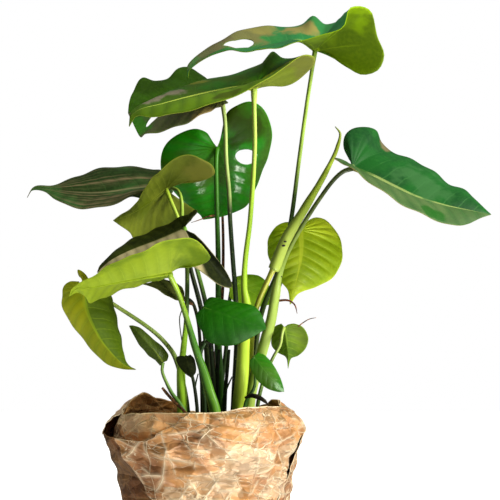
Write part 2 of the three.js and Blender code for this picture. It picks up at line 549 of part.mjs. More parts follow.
// A petiole is shortened in small steps until it is clear of its blade.
function petioleSolid(name) {
  const room = bladeSolid(name, BLADE.seat);
  let shorten = 0;
  let stem = stemSolid(STEMS[name], 0, shorten);
  while (stem.intersect(room).volume() > 0) {
    shorten += BLADE.seat;
    stem = stemSolid(STEMS[name], 0, shorten);
  }
  return stem;
}

let soil = soilSolid();
for (const [name, points] of Object.entries(STEMS)) {
  soil = soil.subtract(stemSolid(points, STEM.gap, 0));
  const stem = name in LEAVES ? petioleSolid(name) : stemSolid(points, 0, 0);
  addPiece(`stem_${name}`, stem, name === "brown" ? COLOURS.brown : COLOURS.petiole, 0.45);
}
for (const name of Object.keys(LEAVES)) {
  addPiece(`blade_${name}`, bladeSolid(name, 0), COLOURS.blade[name], 0.4);
}
addPiece("soil", soil, COLOURS.soil, 1);
addPiece("nursery_pot", potSolid(), COLOURS.pot, 0.5);
addPiece("paper_bag", bagSolid(), COLOURS.paper, 0.85);

export default plant;
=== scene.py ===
# %% [markdown]
# A potted monstera, made around its CAD model.
# The plant is a bunch of leaves on long stems, in a nursery pot inside a crumpled paper bag. Each leaf is
# a thin sheet, each stem is a tapered tube and the bag is one folded sheet, so a flat grid is the start of
# nearly everything here: it is rolled, fanned or draped into its shape, and then given its thickness.

# %% Load the frame
import math
import random

import bpy
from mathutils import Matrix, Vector, noise


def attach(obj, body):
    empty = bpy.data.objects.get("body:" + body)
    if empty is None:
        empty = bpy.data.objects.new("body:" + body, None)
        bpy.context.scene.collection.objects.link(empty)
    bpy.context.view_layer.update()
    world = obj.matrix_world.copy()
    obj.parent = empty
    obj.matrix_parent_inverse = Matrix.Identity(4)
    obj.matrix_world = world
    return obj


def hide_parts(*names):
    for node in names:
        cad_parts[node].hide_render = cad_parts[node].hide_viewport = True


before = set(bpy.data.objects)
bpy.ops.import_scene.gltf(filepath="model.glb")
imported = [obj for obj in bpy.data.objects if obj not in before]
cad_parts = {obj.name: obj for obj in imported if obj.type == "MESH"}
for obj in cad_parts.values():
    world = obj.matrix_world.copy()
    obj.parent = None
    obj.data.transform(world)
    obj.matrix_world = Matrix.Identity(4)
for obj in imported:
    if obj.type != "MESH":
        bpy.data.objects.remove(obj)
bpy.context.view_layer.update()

# %% [markdown]
# The camera comes first. It stands 1.4 m in front of the pot and 0.356 m above the floor and looks level,
# as the photographer did: the undersides of the top leaves and the rim of the bag agree only on that height.

# %% Camera
EYE = Vector((0.051, -1.4, 0.356))
VIEW_HALF_WIDTH = 0.275
SENSOR_WIDTH_MM = 36

camera_data = bpy.data.cameras.new("camera")
camera_data.sensor_width = SENSOR_WIDTH_MM
camera_data.lens = SENSOR_WIDTH_MM / 2 * -EYE.y / VIEW_HALF_WIDTH
camera = bpy.data.objects.new("camera", camera_data)
camera.location = EYE
camera.rotation_euler = (math.radians(90), 0, 0)
bpy.context.collection.objects.link(camera)
bpy.context.scene.camera = camera
print("lens", round(camera_data.lens, 1), "mm")

# %% [markdown]
# The leaves and stems are set out on a front drawing, the same one that the CAD model uses. A point is
# [steps across, steps down, depth in mm behind the middle of the pot], in perspective from the camera.
# Each blade has its midrib from the petiole to the tip, and its two edges from the notch at the petiole,
# round the lobe, to just short of the tip. fan is the share of each edge whose veins start at the petiole,
# arch is the bulge of each half in mm. A hole is [side, vein it lies at, half its width in veins,
# where it starts and ends across the half]. Leaves could be sculpted one by one, but a few drawn points
# for an edge are easier to set right, and the CAD model and this one keep the same shape.

# %% The front drawing: leaves
STEP = 0.0011
AXIS_ACROSS = 203.5
FLOOR_DOWN = 574

LEAVES = {
    "top": {
        "midrib": [[315, 51, 20], [299, 41, 16], [278, 46, 10], [242, 51, 0], [226, 49, -5],
            [207, 57, -9], [189, 68, -12], [188, 79, -12]],
        "left": [[331, 56, 12], [347, 68, 8], [362, 76, 2], [378, 71, -4], [384, 55, -12],
            [377, 36, -26], [372, 14, -42], [366, 9, -48], [357, 7.5, -55], [349, 10, -62],
            [343, 27, -64], [322, 34.5, -60], [303, 41, -57], [290, 45, -54], [277, 48, -50],
            [242, 52, -36], [226, 51, -25], [207, 58, -16], [190, 70, -13]],
        "right": [[324, 45, 34], [338, 33, 60], [343, 22, 74], [325, 24, 76], [313, 17, 72],
            [302, 25, 76], [284, 27, 76], [264, 27, 66], [246, 29, 52], [226, 38, 26], [207, 49, 5],
            [188, 65, -10]],
        "fan": [0.62, 0.3], "arch": [3, 3], "holes": [["right", 9.9, 1, 0.05, 0.46]],
    },
    "broad": {
        "midrib": [[254, 90, 0], [240, 88, -3], [214, 92, -8], [187, 98, -12], [160, 105, -17],
            [140, 110, -20], [131, 117, -21], [129, 127, -21]],
        "left": [[268, 86, 4], [284, 86, -2], [300, 79, -10], [314, 66, -20], [314, 57, -34],
            [304, 55, -48], [288, 66, -60], [268, 78, -68], [250, 90, -72], [232, 97, -74],
            [214, 104, -74], [195, 109, -70], [171, 115, -60], [150, 117, -44], [136, 117, -30]],
        "right": [[266, 78, 22], [284, 66, 45], [303, 55, 62], [291, 59, 74], [282, 59, 78],
            [272, 52, 80], [262, 63, 78], [240, 73, 72], [219, 77, 66], [200, 82, 56], [187, 85, 44],
            [160, 96, 18], [141, 105, -4], [131, 113, -18]],
        "fan": [0.42, 0.34], "arch": [2, 3], "holes": [],
    },
    "behind": {
        "midrib": [[222, 99, 45], [205, 101, 46], [180, 105, 46], [155, 109, 42], [135, 112, 36],
            [128, 114, 34]],
        "left": [[228, 103, 34], [222, 106, 22], [200, 116, 8], [185, 124, 2], [160, 132, -2],
            [145, 135, -2], [141, 138, 0], [136, 130, 8], [131, 120, 20]],
        "right": [[229, 95, 56], [222, 88, 74], [208, 81, 92], [198, 73, 98], [187, 68, 100],
            [177, 69, 99], [167, 80, 92], [155, 81, 86], [143, 78, 84], [133, 92, 66], [129, 104, 48]],
        "fan": [0.2, 0.3], "arch": [2, 4], "holes": [["left", 10.5, 0.4, 0.12, 0.72]],
    },
    "glossy": {
        "midrib": [[217, 148, 75], [216, 165, 84], [215, 185, 97], [215, 203, 108], [213, 217, 112],
            [203, 220, 110]],
        "left": [[221, 137, 68], [227, 113, 58], [238, 105, 56], [250, 102, 58], [261, 107, 64],
            [268, 118, 72], [272, 136, 82], [268, 156, 92], [262, 172, 98], [254, 192, 104],
            [246, 206, 108], [228, 215, 111]],
        "right": [[211, 140, 70], [206, 133, 66], [194, 129, 62], [178, 135, 60], [166, 144, 64],
            [161, 157, 72], [162, 174, 84], [172, 190, 96], [186, 204, 106], [200, 215, 110]],
        "fan": [0.5, 0.5], "arch": [7, 7], "holes": [["left", 5.5, 0.72, 0.34, 0.76]],
    },
    "dark_left": {
        "midrib": [[170, 188, 32], [139, 189, 34], [110, 193, 34], [90, 194, 32], [66, 192, 28],
            [44, 189, 24], [33, 189, 22], [27, 198, 22]],
        "left": [[173, 192, 40], [168, 197, 42], [155, 200, 34], [142, 198, 14], [130, 198, -2],
            [118, 203, -8], [99, 208, -8], [83, 209, -4], [68, 206, 2], [54, 199, 12], [44, 192, 20],
            [32, 191, 22]],
        "right": [[173, 187, 44], [172, 178, 62], [160, 171, 76], [139, 168, 82], [121, 167, 82],
            [100, 169, 74], [82, 175, 62], [66, 181, 46], [52, 186, 32], [34, 187, 22]],
        "fan": [0.24, 0.24], "arch": [4, 4], "holes": [],
    },
    "olive": {
        "midrib": [[166, 190, 14], [152, 201, 6], [135, 212, -4], [122, 218, -12], [113, 221, -16]],
        "left": [[176, 184, 12], [195, 182, 10], [208, 179, 6], [215, 174, 0], [212, 166, -8],
            [203, 160, -14], [190, 155, -20], [176, 159, -22], [160, 171, -22], [148, 184, -22],
            [141, 196, -21], [132, 208, -20], [121, 215, -18]],
        "right": [[180, 203, 42], [195, 211, 44], [188, 217, 42], [174, 223, 36], [152, 232, 22],
            [135, 240, 10], [130, 233, 2], [120, 226, -8]],
        "fan": [0.62, 0.42], "arch": [3, 3], "holes": [],
    },
    "tent": {
        "midrib": [[184, 229, -38], [160, 239.5, -44], [129, 251.5, -50], [110, 261.5, -52], [97, 273, -52]],
        "left": [[194, 234, -40], [204, 244, -40], [221, 264, -38], [232, 287, -38], [220, 285, -52],
            [206, 276, -62], [188, 264, -66], [168, 258, -70], [146, 256, -70], [125, 260, -64],
            [108, 268, -57]],
        "right": [[191, 221, -28], [197, 211, -12], [186, 215, -4], [170, 223, -2], [150, 232, -8],
            [129, 241, -20], [112, 254, -36], [100, 266, -48]],
        "fan": [0.5, 0.28], "arch": [-1.5, 2], "holes": [],
    },
    "bright": {
        "midrib": [[169, 274, -84], [140, 279, -90], [112, 284, -94], [90, 288, -95], [76, 289, -94],
            [69, 297, -93]],
        "left": [[184, 268, -84], [198, 266, -86], [207, 263, -90], [210, 257, -98], [200, 244, -110],
            [189, 239, -118], [175, 239, -126], [159, 244, -132], [142, 252, -134], [125, 259, -132],
            [111, 264, -126], [96, 275, -114], [82, 282, -102], [72, 289, -95]],
        "right": [[172, 271, -78], [172, 277, -62], [156, 281, -52], [138, 286, -48], [120, 291, -50],
            [104, 298, -58], [90, 303, -70], [85, 297, -82], [77, 293, -92]],
        "fan": [0.4, 0.24], "arch": [5, 3], "holes": [],
    },
    "hanging": {
        "midrib": [[82, 287, -34], [86, 310, -40], [98, 336, -40], [112, 354, -36], [124, 365, -32],
            [136, 370, -30]],
        "left": [[90, 282, -26], [84, 274, -20], [78, 270, -18], [80, 277, -16], [94, 285, -10],
            [110, 296, -6], [117, 322, -8], [122, 345, -14], [125, 360, -24], [130, 367, -29]],
        "right": [[79, 282, -28], [70, 282, -22], [64, 287, -16], [62, 302, -12], [66, 316, -14],
            [76, 330, -18], [90, 348, -22], [105, 363, -26], [121, 369, -29]],
        "fan": [0.42, 0.26], "arch": [4, 4], "holes": [],
    },
    "right": {
        "midrib": [[352, 169, -8], [370, 176, -14], [393, 187, -20], [415, 197, -24], [445, 206, -24],
            [470, 211, -20], [491, 215, -14]],
        "left": [[349, 160, 0], [344, 148, 8], [345, 136, 16], [354, 129, 26], [367, 127, 34],
            [376, 131, 40], [381, 143, 46], [396, 154, 48], [414, 161, 46], [432, 171, 38],
            [450, 185, 26], [467, 192, 12], [481, 206, -6]],
        "right": [[345, 164, -18], [334, 159, -36], [338, 161, -52], [352, 169, -64], [370, 183, -72],
            [390, 197, -74], [408, 208, -70], [430, 218, -62], [453, 226, -50], [468, 224, -36],
            [482, 218, -22]],
        "fan": [0.42, 0.3], "arch": [5, 3], "holes": [],
    },
    "heart": {
        "midrib": [[300, 230, 34], [301, 245, 32], [300, 262, 32], [296, 281, 36], [292, 296, 40],
            [290, 305, 42]],
        "left": [[306, 222, 40], [316, 218, 46], [326, 221, 50], [336, 232, 52], [342, 248, 52],
            [340, 266, 50], [331, 279, 48], [316, 287, 46], [298, 294, 42]],
        "right": [[294, 223, 38], [284, 223, 42], [274, 229, 46], [268, 241, 48], [268, 254, 48],
            [273, 269, 46], [282, 283, 44], [288, 291, 42]],
        "fan": [0.38, 0.38], "arch": [4, 4], "holes": [],
    },
    "back": {
        "midrib": [[233, 283, 40], [243, 288, 44], [254, 294, 46], [264, 300, 46], [270, 305, 46]],
        "left": [[236, 277, 42], [246, 275, 44], [258, 276, 46], [267, 283, 46], [271, 295, 46]],
        "right": [[229, 288, 40], [231, 299, 42], [241, 306, 44], [254, 308, 46], [264, 306, 46]],
        "fan": [0.3, 0.3], "arch": [2, 2], "holes": [],
    },
    "centre": {
        "midrib": [[204, 308, -40], [217, 312, -46], [233, 318, -50], [250, 324, -50], [261, 328, -48],
            [266, 329, -46]],
        "left": [[204, 303, -36], [210, 298, -34], [219, 299, -36], [232, 302, -38], [247, 304.5, -40],
            [257, 309, -42], [263, 319, -45]],
        "right": [[199, 311, -38], [196, 317, -38], [201, 330, -40], [208, 341, -42], [222, 346, -44],
            [237, 344.5, -46], [251, 338, -47], [261, 332, -47]],
        "fan": [0.3, 0.28], "arch": [3, 3], "holes": [],
    },
    "small_right": {
        "midrib": [[284, 328, -14], [286, 340, -12], [288, 355, -12], [288, 369, -12]],
        "left": [[281, 324, -8], [275, 327, -2], [272, 337, 2], [272, 347, 0], [278, 353, -4],
            [286, 358, -10]],
        "right": [[288, 325, -12], [294, 324, -14], [303, 328, -14], [308, 338, -12], [306, 348, -10],
            [298, 356, -10], [291, 359, -11]],
        "fan": [0.3, 0.3], "arch": [2, 3], "holes": [],
    },
    "small_glossy": {
        "midrib": [[254, 357, -38], [262, 367, -42], [272, 379, -42], [279, 387, -40], [284, 392, -38]],
        "left": [[258, 353, -36], [265, 356, -38], [273, 365, -40], [280, 378, -40], [283, 387, -39]],
        "right": [[250, 360, -36], [250, 367, -36], [257, 380, -38], [266, 388, -38], [277, 392, -38]],
        "fan": [0.25, 0.25], "arch": [2, 2], "holes": [],
    },
    "small_left": {
        "midrib": [[163, 363, -20], [155, 352, -22], [145, 341, -22], [136, 331, -20], [129, 326, -18]],
        "left": [[160, 366, -16], [156, 361, -12], [148, 355, -12], [138, 343, -14], [132, 332, -17]],
        "right": [[167, 361, -18], [168, 355, -16], [162, 347, -14], [151, 338, -14], [141, 329, -16],
            [133, 326, -18]],
        "fan": [0.25, 0.25], "arch": [2, 2], "holes": [],
    },
    "small_dark": {
        "midrib": [[186, 357, -26], [188, 364, -28], [190, 371, -29], [191, 378, -29]],
        "left": [[190, 355, -24], [194, 359, -25], [196, 369, -27], [195, 374, -28]],
        "right": [[181, 356, -25], [176, 358, -24], [178, 365, -25], [184, 373, -27]],
        "fan": [0.28, 0.28], "arch": [1, 1], "holes": [],
    },
    "narrow": {
        "midrib": [[184, 298, 16], [172, 293, 14], [160, 287, 12], [150, 285, 12], [140, 284, 12]],
        "left": [[182, 302, 12], [175, 300, 8], [165, 295, 6], [156, 289, 8], [148, 286, 10]],
        "right": [[184, 292, 22], [180, 286, 26], [169, 281, 26], [158, 279, 22], [150, 283, 14]],
        "fan": [0.2, 0.2], "arch": [1, 1], "holes": [],
    },
}

print("leaves:", len(LEAVES))

# %% [markdown]
# A stem is listed from the soil upwards, and each of its points has a fourth value, its radius in mm there.

# %% The front drawing: stems
STEMS = {
    "top": [[246, 455, 24, 4], [250, 400, 20, 3.6], [257, 335, 17, 3.2], [263, 308, 15, 3],
        [278, 271, 15, 2.8], [286, 242, 16, 2.6], [291, 220, 16, 2.5], [299, 160, 16, 2.3],
        [306, 109, 18, 2.2], [312, 70, 20, 2.2], [315, 51, 20, 2.8]],
    "broad": [[238, 455, -15, 7.6], [239, 406, -15, 7.4], [242, 377, -15, 7.2], [244, 340, -15, 6.6],
        [246, 306, -14, 5], [244, 288, -13, 3.4], [245, 261, -11, 2.9], [250, 220, -8, 2.7],
        [254.5, 149, -4, 2.5], [254, 108, -1, 2.6], [254, 90, 0, 3.6]],
    "behind": [[231, 455, 14, 3.6], [234, 400, 12, 3.4], [237, 330, 10, 3], [235, 290, 12, 2.7],
        [233, 265, 15, 2.6], [230, 220, 20, 2.5], [229, 193, 24, 2.5], [226, 160, 30, 2.4],
        [225, 124, 38, 2.3], [222, 99, 45, 2.8]],
    "glossy": [[222, 455, 28, 4.6], [221, 391, 28, 4.4], [218, 346, 32, 4.2], [218, 295, 40, 3.2],
        [218, 257, 48, 2.9], [217, 215, 58, 2.7], [216, 176, 66, 2.6], [216, 160, 69, 2.6],
        [217, 148, 75, 3]],
    "dark_left": [[210, 455, 16, 3.4], [209, 400, 15, 3.2], [206, 345, 13, 3], [201, 310, 12, 2.7],
        [190, 267, 12, 2.4], [184, 236, 12, 2.2], [182, 218, 12, 2.1], [181.5, 202, 12, 2],
        [178, 191, 22, 1.9], [170, 188, 32, 2.2]],
    "olive": [[181, 455, -10, 5.8], [182, 405, -10, 5.4], [181, 372, -8, 4.8], [183, 352, -6, 3.4],
        [186, 320, -2, 2.6], [187, 267, 2, 2.4], [184, 240, 2, 2.2], [178, 219, 3, 2.2],
        [171, 202, 5, 2.2], [166, 190, 14, 2.6]],
    "tent": [[214, 455, -6, 3.2], [214, 400, -4, 3], [211, 348, 0, 2.8], [206, 307, -3, 2.6],
        [197, 270, -14, 2.4], [190, 246, -26, 2.2], [184, 228, -38, 2.6]],
    "bright": [[221, 455, -56, 6.4], [215, 411, -54, 6], [209, 391, -52, 5.4], [204, 374, -52, 4.8],
        [195, 348, -54, 3.8], [187, 320, -60, 3], [178, 293, -70, 2.6], [169, 274, -84, 2.8]],
    "hanging": [[190, 455, 12, 3.2], [186, 400, 10, 3], [175, 358, 6, 2.7], [163, 341, 4, 2.4],
        [147, 327, 0, 2.3], [114, 305, -4, 2.2], [96, 293, -12, 2.1], [82, 287, -34, 2.6]],
    "right": [[248, 455, -4, 6.2], [250, 400, -4, 6], [262, 352, -6, 5.8], [270, 324, -6, 5.6],
        [275, 296, -5, 5.2], [279, 275, 1, 3.7], [286, 256, 5, 2.8], [297, 235, 4, 2.5],
        [309, 215, 2, 2.4], [321, 197, 0, 2.3], [333, 181, -3, 2.3], [343, 172, -6, 2.4],
        [352, 169, -8, 2.8]],
    "heart": [[244, 455, 38, 3.2], [247, 400, 40, 3], [262, 340, 52, 2.6], [278, 290, 62, 2.3],
        [291, 255, 60, 2.1], [298, 238, 48, 2], [300, 230, 34, 2.4]],
    "back": [[214, 455, 42, 2.8], [221, 386, 44, 2.6], [226, 348, 46, 2.4], [229, 305, 50, 2.2],
        [231, 291, 48, 2], [233, 283, 40, 2.2]],
    "centre": [[206, 455, -30, 2.6], [204, 400, -30, 2.4], [200, 366, -28, 2.2], [201, 351, -26, 2.1],
        [205, 342, -26, 2], [204, 324, -28, 1.9], [203, 313, -32, 1.9], [204, 308, -40, 2.1]],
    "small_right": [[256, 455, -22, 2.4], [257, 410, -22, 2.2], [264, 378, -22, 2], [273, 358, -22, 1.8],
        [280, 345, -23, 1.7], [282, 334, -22, 1.6], [284, 328, -14, 1.8]],
    "small_glossy": [[243, 455, -34, 2.2], [245, 405, -30, 2], [254, 388, -29, 1.8],
        [255, 374, -29, 1.6], [254, 362, -31, 1.6], [254, 357, -38, 1.8]],
    "small_left": [[195, 455, -32, 2.6], [186, 416, -30, 2.4], [179, 403, -28, 2.2],
        [172, 394, -26, 2.1], [165, 380, -24, 1.8], [162, 371, -21, 1.7], [163, 363, -20, 1.9]],
    "small_dark": [[199, 455, -18, 2.2], [197, 410, -18, 2], [193, 380, -16, 1.8], [188, 366, -16, 1.6],
        [186, 360, -19, 1.6], [186, 357, -26, 1.7]],
    "narrow": [[202, 455, 30, 2.4], [202, 400, 28, 2.2], [199, 330, 24, 1.9], [194, 306, 22, 1.9],
        [189, 300, 19, 2.2], [184, 298, 16, 1.6]],
    "spear": [[247, 455, 6, 4.2], [249, 400, 5, 3.8], [252, 330, 4, 3.2], [258, 303, 1, 3],
        [270, 276, -7, 3], [274, 268, -9, 3.6], [276, 265, -10, 6.4], [286, 240, -12, 6.2],
        [304, 210, -14, 4.9], [321, 181, -14, 3.3], [333, 158, -14, 2.3], [337, 148, -14, 2.1],
        [340, 134, -13, 1.3], [335, 127, -12, 0.5]],
    "brown": [[206, 455, 56, 2.2], [209, 400, 58, 2.1], [216, 350, 64, 2], [222, 298, 76, 1.9],
        [223, 266, 92, 1.8], [223, 235, 112, 1.7], [222, 205, 124, 1.5]],
}
print("stems:", len(STEMS))

# %% [markdown]
# A few small tools read the drawing. place turns a drawn point into metres. smooth_line joins placed points
# with a smooth curve that can be asked for any share of its length, so an outline of a dozen points becomes
# a leaf edge without corners. outline_normal says which way a leaf half faces, and ease goes from 0 to 1
# with a soft start and a soft end.

# %% Reading the drawing
MM_IN_M = 1000
DEEPER = Vector((0, 1, 0))


def place(point):
    across, down, depth = point[:3]
    flat = Vector(((across - AXIS_ACROSS) * STEP, 0, (FLOOR_DOWN - down) * STEP))
    centre = Vector((EYE.x, 0, EYE.z))
    spread = 1 + depth / MM_IN_M / -EYE.y
    return centre + (flat - centre) * spread + Vector((0, depth / MM_IN_M, 0))


def ease(share):
    share = min(max(share, 0), 1)
    return share * share * (3 - 2 * share)


def distances(points):
    at = [0.0]
    for before, after in zip(points, points[1:]):
        at.append(at[-1] + (after - before).length)
    return at


def find_stretch(at, d):
    k = 0
    while k < len(at) - 2 and at[k + 1] < d:
        k += 1
    return k, (d - at[k]) / (at[k + 1] - at[k])


def smooth_line(points):
    at = distances(points)
    last = len(points) - 1
    slopes = []
    for k in range(len(points)):
        low, high = max(k - 1, 0), min(k + 1, last)
        slopes.append((points[high] - points[low]) / (at[high] - at[low]))

    def line(share):
        k, u = find_stretch(at, share * at[last])
        length = at[k + 1] - at[k]
        return (points[k] * (2 * u**3 - 3 * u**2 + 1) + slopes[k] * ((u**3 - 2 * u**2 + u) * length)
                + points[k + 1] * (3 * u**2 - 2 * u**3) + slopes[k + 1] * ((u**3 - u**2) * length))

    return line


def outline_normal(points):
    total = Vector((0, 0, 0))
    for p, q in zip(points, points[1:] + points[:1]):
        total += Vector(((p.y - q.y) * (p.z + q.z), (p.z - q.z) * (p.x + q.x), (p.x - q.x) * (p.y + q.y)))
    return total.normalized()


print("tip of the top leaf:", place(LEAVES["top"]["midrib"][-1]))

# %% [markdown]
# Every sheet and tube starts as Blender's grid primitive. The grid brings a UV map, so after it is bent into
# a leaf or rolled into a stem the map still says how far along and across each point lies, and the materials
# draw veins and streaks by it. grid_spots gives each vertex its u and v, from 0 to 1. shaped_grid moves each
# vertex to the place that shape(u, v) gives and welds what meets. Faces inside a hole are deleted first, and
# the vertices left round the hole are moved out to its edge, so a coarse grid still gets a round hole.

# %% Grid tools
GRID_SIZE = 2
WELD = 0.00002


def select_only(obj):
    bpy.ops.object.select_all(action="DESELECT")
    obj.select_set(True)
    bpy.context.view_layer.objects.active = obj


def edit_all(obj):
    select_only(obj)
    bpy.ops.object.mode_set(mode="EDIT")
    bpy.ops.mesh.select_all(action="SELECT")


def stop_editing():
    bpy.ops.object.mode_set(mode="OBJECT")


def grid_spots(obj):
    half = GRID_SIZE / 2
    return [((v.co.x + half) / GRID_SIZE, (v.co.y + half) / GRID_SIZE) for v in obj.data.vertices]


def cut_holes(obj, spots, holes):
    def depth_in(u, v, hole):
        return math.hypot((u - hole[0]) / hole[2], (v - hole[1]) / hole[3])

    bpy.context.tool_settings.mesh_select_mode = (False, False, True)
    bpy.ops.object.mode_set(mode="EDIT")
    bpy.ops.mesh.select_all(action="DESELECT")
    stop_editing()
    for face in obj.data.polygons:
        corners = [spots[k] for k in face.vertices]
        face.select = any(all(depth_in(u, v, hole) < 1 for u, v in corners) for hole in holes)
    bpy.ops.object.mode_set(mode="EDIT")
    bpy.ops.mesh.delete(type="FACE")
    stop_editing()
    spots = grid_spots(obj)
    for k, (u, v) in enumerate(spots):
        for hole in holes:
            inside = depth_in(u, v, hole)
            if 0 < inside < 1:
                spots[k] = (hole[0] + (u - hole[0]) / inside, hole[1] + (v - hole[1]) / inside)
    return spots


def shaped_grid(name, columns, rows, shape, holes=()):
    bpy.ops.object.select_all(action="DESELECT")
    bpy.ops.mesh.primitive_grid_add(x_subdivisions=columns, y_subdivisions=rows, size=GRID_SIZE,
                                    calc_uvs=True)
    obj = bpy.context.active_object
    obj.name = name
    spots = grid_spots(obj)
    if holes:
        spots = cut_holes(obj, spots, holes)
    for vertex, (u, v) in zip(obj.data.vertices, spots):
        vertex.co = shape(u, v)
    edit_all(obj)
    bpy.ops.mesh.remove_doubles(threshold=WELD)
    stop_editing()
    return obj


def close_up(obj):
    edit_all(obj)
    bpy.ops.mesh.fill_holes(sides=0)
    bpy.ops.mesh.select_all(action="SELECT")
    bpy.ops.mesh.normals_make_consistent(inside=False)
    stop_editing()


def thicken(obj, thickness, offset, **settings):
    select_only(obj)
    wall = obj.modifiers.new("thickness", "SOLIDIFY")
    wall.thickness = thickness
    wall.offset = offset
    for key, value in settings.items():
        setattr(wall, key, value)
    bpy.ops.object.modifier_apply(modifier=wall.name)


def join(pieces):
    select_only(pieces[0])
    for piece in pieces[1:]:
        piece.select_set(True)
    bpy.ops.object.join()
    return pieces[0]


def finish_piece(obj, nodes):
    select_only(obj)
    bpy.ops.object.shade_smooth()
    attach(obj, "root")
    if nodes:
        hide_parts(*nodes)
    print(obj.name, len(obj.data.polygons), "faces")


# %% [markdown]
# Colours are given as the 0 to 255 values that a paint program shows. paint turns them into the linear values
# that Blender's shaders want. add_node puts a node in a material and fills or links its inputs in one line,
# and the rest are short names for the nodes that every finish here needs: sums, a soft step from one value to
# another, a blend of two colours, coordinates, noise and bump.

# %% Colour and node tools
BRIGHTEST = 250


def paint(red, green, blue):
    linear = [c / 255 / 12.92 if c <= 10 else ((c / 255 + 0.055) / 1.055) ** 2.4 for c in (red, green, blue)]
    return (*linear, 1)


def shaded(color, times_as_light, lift=0):
    return paint(*[min(c * times_as_light + lift, BRIGHTEST) for c in color])


def feed(material, socket, value):
    if isinstance(value, bpy.types.NodeSocket):
        material.node_tree.links.new(value, socket)
    else:
        socket.default_value = value


def add_node(material, kind, inputs=None, **options):
    node = material.node_tree.nodes.new(kind)
    for key, value in options.items():
        setattr(node, key, value)
    for key, value in (inputs or {}).items():
        feed(material, node.inputs[key], value)
    return node


def new_material(name, **settings):
    material = bpy.data.materials.new(name)
    material.use_nodes = True
    shader = material.node_tree.nodes["Principled BSDF"]
    for key, value in settings.items():
        shader.inputs[key.replace("_", " ")].default_value = value
    return material


def set_surface(material, name, value):
    feed(material, material.node_tree.nodes["Principled BSDF"].inputs[name], value)


def maths(material, operation, a, b=0.0, c=0.0):
    return add_node(material, "ShaderNodeMath", {0: a, 1: b, 2: c}, operation=operation).outputs[0]


def times(material, a, b):
    return maths(material, "MULTIPLY", a, b)


def larger(material, a, b):
    return maths(material, "MAXIMUM", a, b)


def from_middle(material, value):
    return maths(material, "ABSOLUTE", maths(material, "SUBTRACT", value, 0.5))


def scaled(material, value, low, high, to_low=0.0, to_high=1.0):
    node = add_node(material, "ShaderNodeMapRange", {0: value, 1: low, 2: high, 3: to_low, 4: to_high})
    node.interpolation_type = "SMOOTHSTEP"
    return node.outputs[0]


def mixed(material, share, a, b):
    return add_node(material, "ShaderNodeMix", {0: share, 6: a, 7: b}, data_type="RGBA").outputs[2]


def coordinates(material, source, stretch=None):
    out = add_node(material, "ShaderNodeTexCoord").outputs[source]
    if stretch:
        out = add_node(material, "ShaderNodeMapping", {0: out, 3: stretch}).outputs[0]
    return out


def axes(material, vector):
    return add_node(material, "ShaderNodeSeparateXYZ", {0: vector}).outputs


def vector_maths(material, operation, a, b):
    return add_node(material, "ShaderNodeVectorMath", {0: a, 1: b}, operation=operation).outputs


def distance_to(material, body, spot):
    return vector_maths(material, "DISTANCE", body, spot)["Value"]


def noise_at(material, where, scale, detail=3.0):
    inputs = {"Vector": where, "Scale": scale, "Detail": detail}
    return add_node(material, "ShaderNodeTexNoise", inputs).outputs[0]


def set_bump(material, height, strength, distance):
    inputs = {"Strength": strength, "Distance": distance, "Height": height}
    set_surface(material, "Normal", add_node(material, "ShaderNodeBump", inputs).outputs[0])


print("white paint is", paint(255, 255, 255))

# %% [markdown]
# A monstera leaf has a leathery upper face with sunken veins, and a paler, duller underside on which the same
# veins stand proud. Both faces use one recipe. The UV map counts the veins: u runs from the notch to the tip,
# v across from edge to edge, so a vein lies wherever u times the number of veins is whole. Veins could be
# painted as an image, but a formula stays sharp at any size and follows the leaf however it bends.

# %% Leaf veins
VEIN_WIDTH = 0.06
NEAR_VEIN = 0.4
VEIN_WOBBLE = 0.25
WOBBLE_SCALE = 60.0
MIDRIB_WIDTH = 0.05
MIDRIB_TAPER = 0.8
MIDRIB_SOFTNESS = 0.012
VEINS_FADE = (0.15, 0.42)
VEINS_SHOWN = 0.75


def draw_veins(material, uv, body, veins):
    wobble = times(material, noise_at(material, body, WOBBLE_SCALE), VEIN_WOBBLE)
    count = maths(material, "MULTIPLY_ADD", uv[0], float(veins), wobble)
    from_vein = maths(material, "PINGPONG", count, 0.5)
    vein_line = scaled(material, from_vein, 0.0, VEIN_WIDTH, 1.0, 0.0)
    near_vein = scaled(material, from_vein, 0.0, NEAR_VEIN, 1.0, 0.0)
    from_rib = from_middle(material, uv[1])
    taper = maths(material, "MULTIPLY_ADD", uv[0], -MIDRIB_WIDTH * MIDRIB_TAPER, MIDRIB_WIDTH)
    rib_line = scaled(material, maths(material, "SUBTRACT", from_rib, taper), -MIDRIB_SOFTNESS, 0.0, 1.0, 0.0)
    fade = scaled(material, from_rib, *VEINS_FADE, VEINS_SHOWN, 0.0)
    line = maths(material, "MAXIMUM", times(material, vein_line, fade), rib_line)
    return line, near_vein, rib_line, from_rib


# %% [markdown]
# The flesh is mottled by two colours in soft patches. Some leaves get painted light besides: one has pale
# grey-brown streaks, a painted sheen, and on others one half has another tone, from a place along the leaf
# onwards, which is painted light and sheen for the way that half faces the light. The line at v = 0.5 parts
# the two halves.

# %% Leaf flesh
STREAK_STRETCH = (1.4, 17.0, 1.0)
STREAKS_FROM, STREAKS_FULL, STREAKS_SHARE = 0.45, 0.7, 0.75
HALF_EDGE = 0.01
TINT_EDGE = 0.02
TINT_ON_FLESH, TINT_ON_DEEP = 0.95, 0.6


def painted_half_share(material, uv, patches, half, start):
    ends = (0.0, 1.0) if half == "left" else (1.0, 0.0)
    side = scaled(material, uv[1], 0.5 - HALF_EDGE, 0.5 + HALF_EDGE, *ends)
    beyond = scaled(material, uv[0], start - TINT_EDGE, start + TINT_EDGE)
    patchy = scaled(material, patches, 0.0, 1.0, TINT_ON_FLESH, TINT_ON_DEEP)
    return times(material, times(material, side, beyond), patchy)


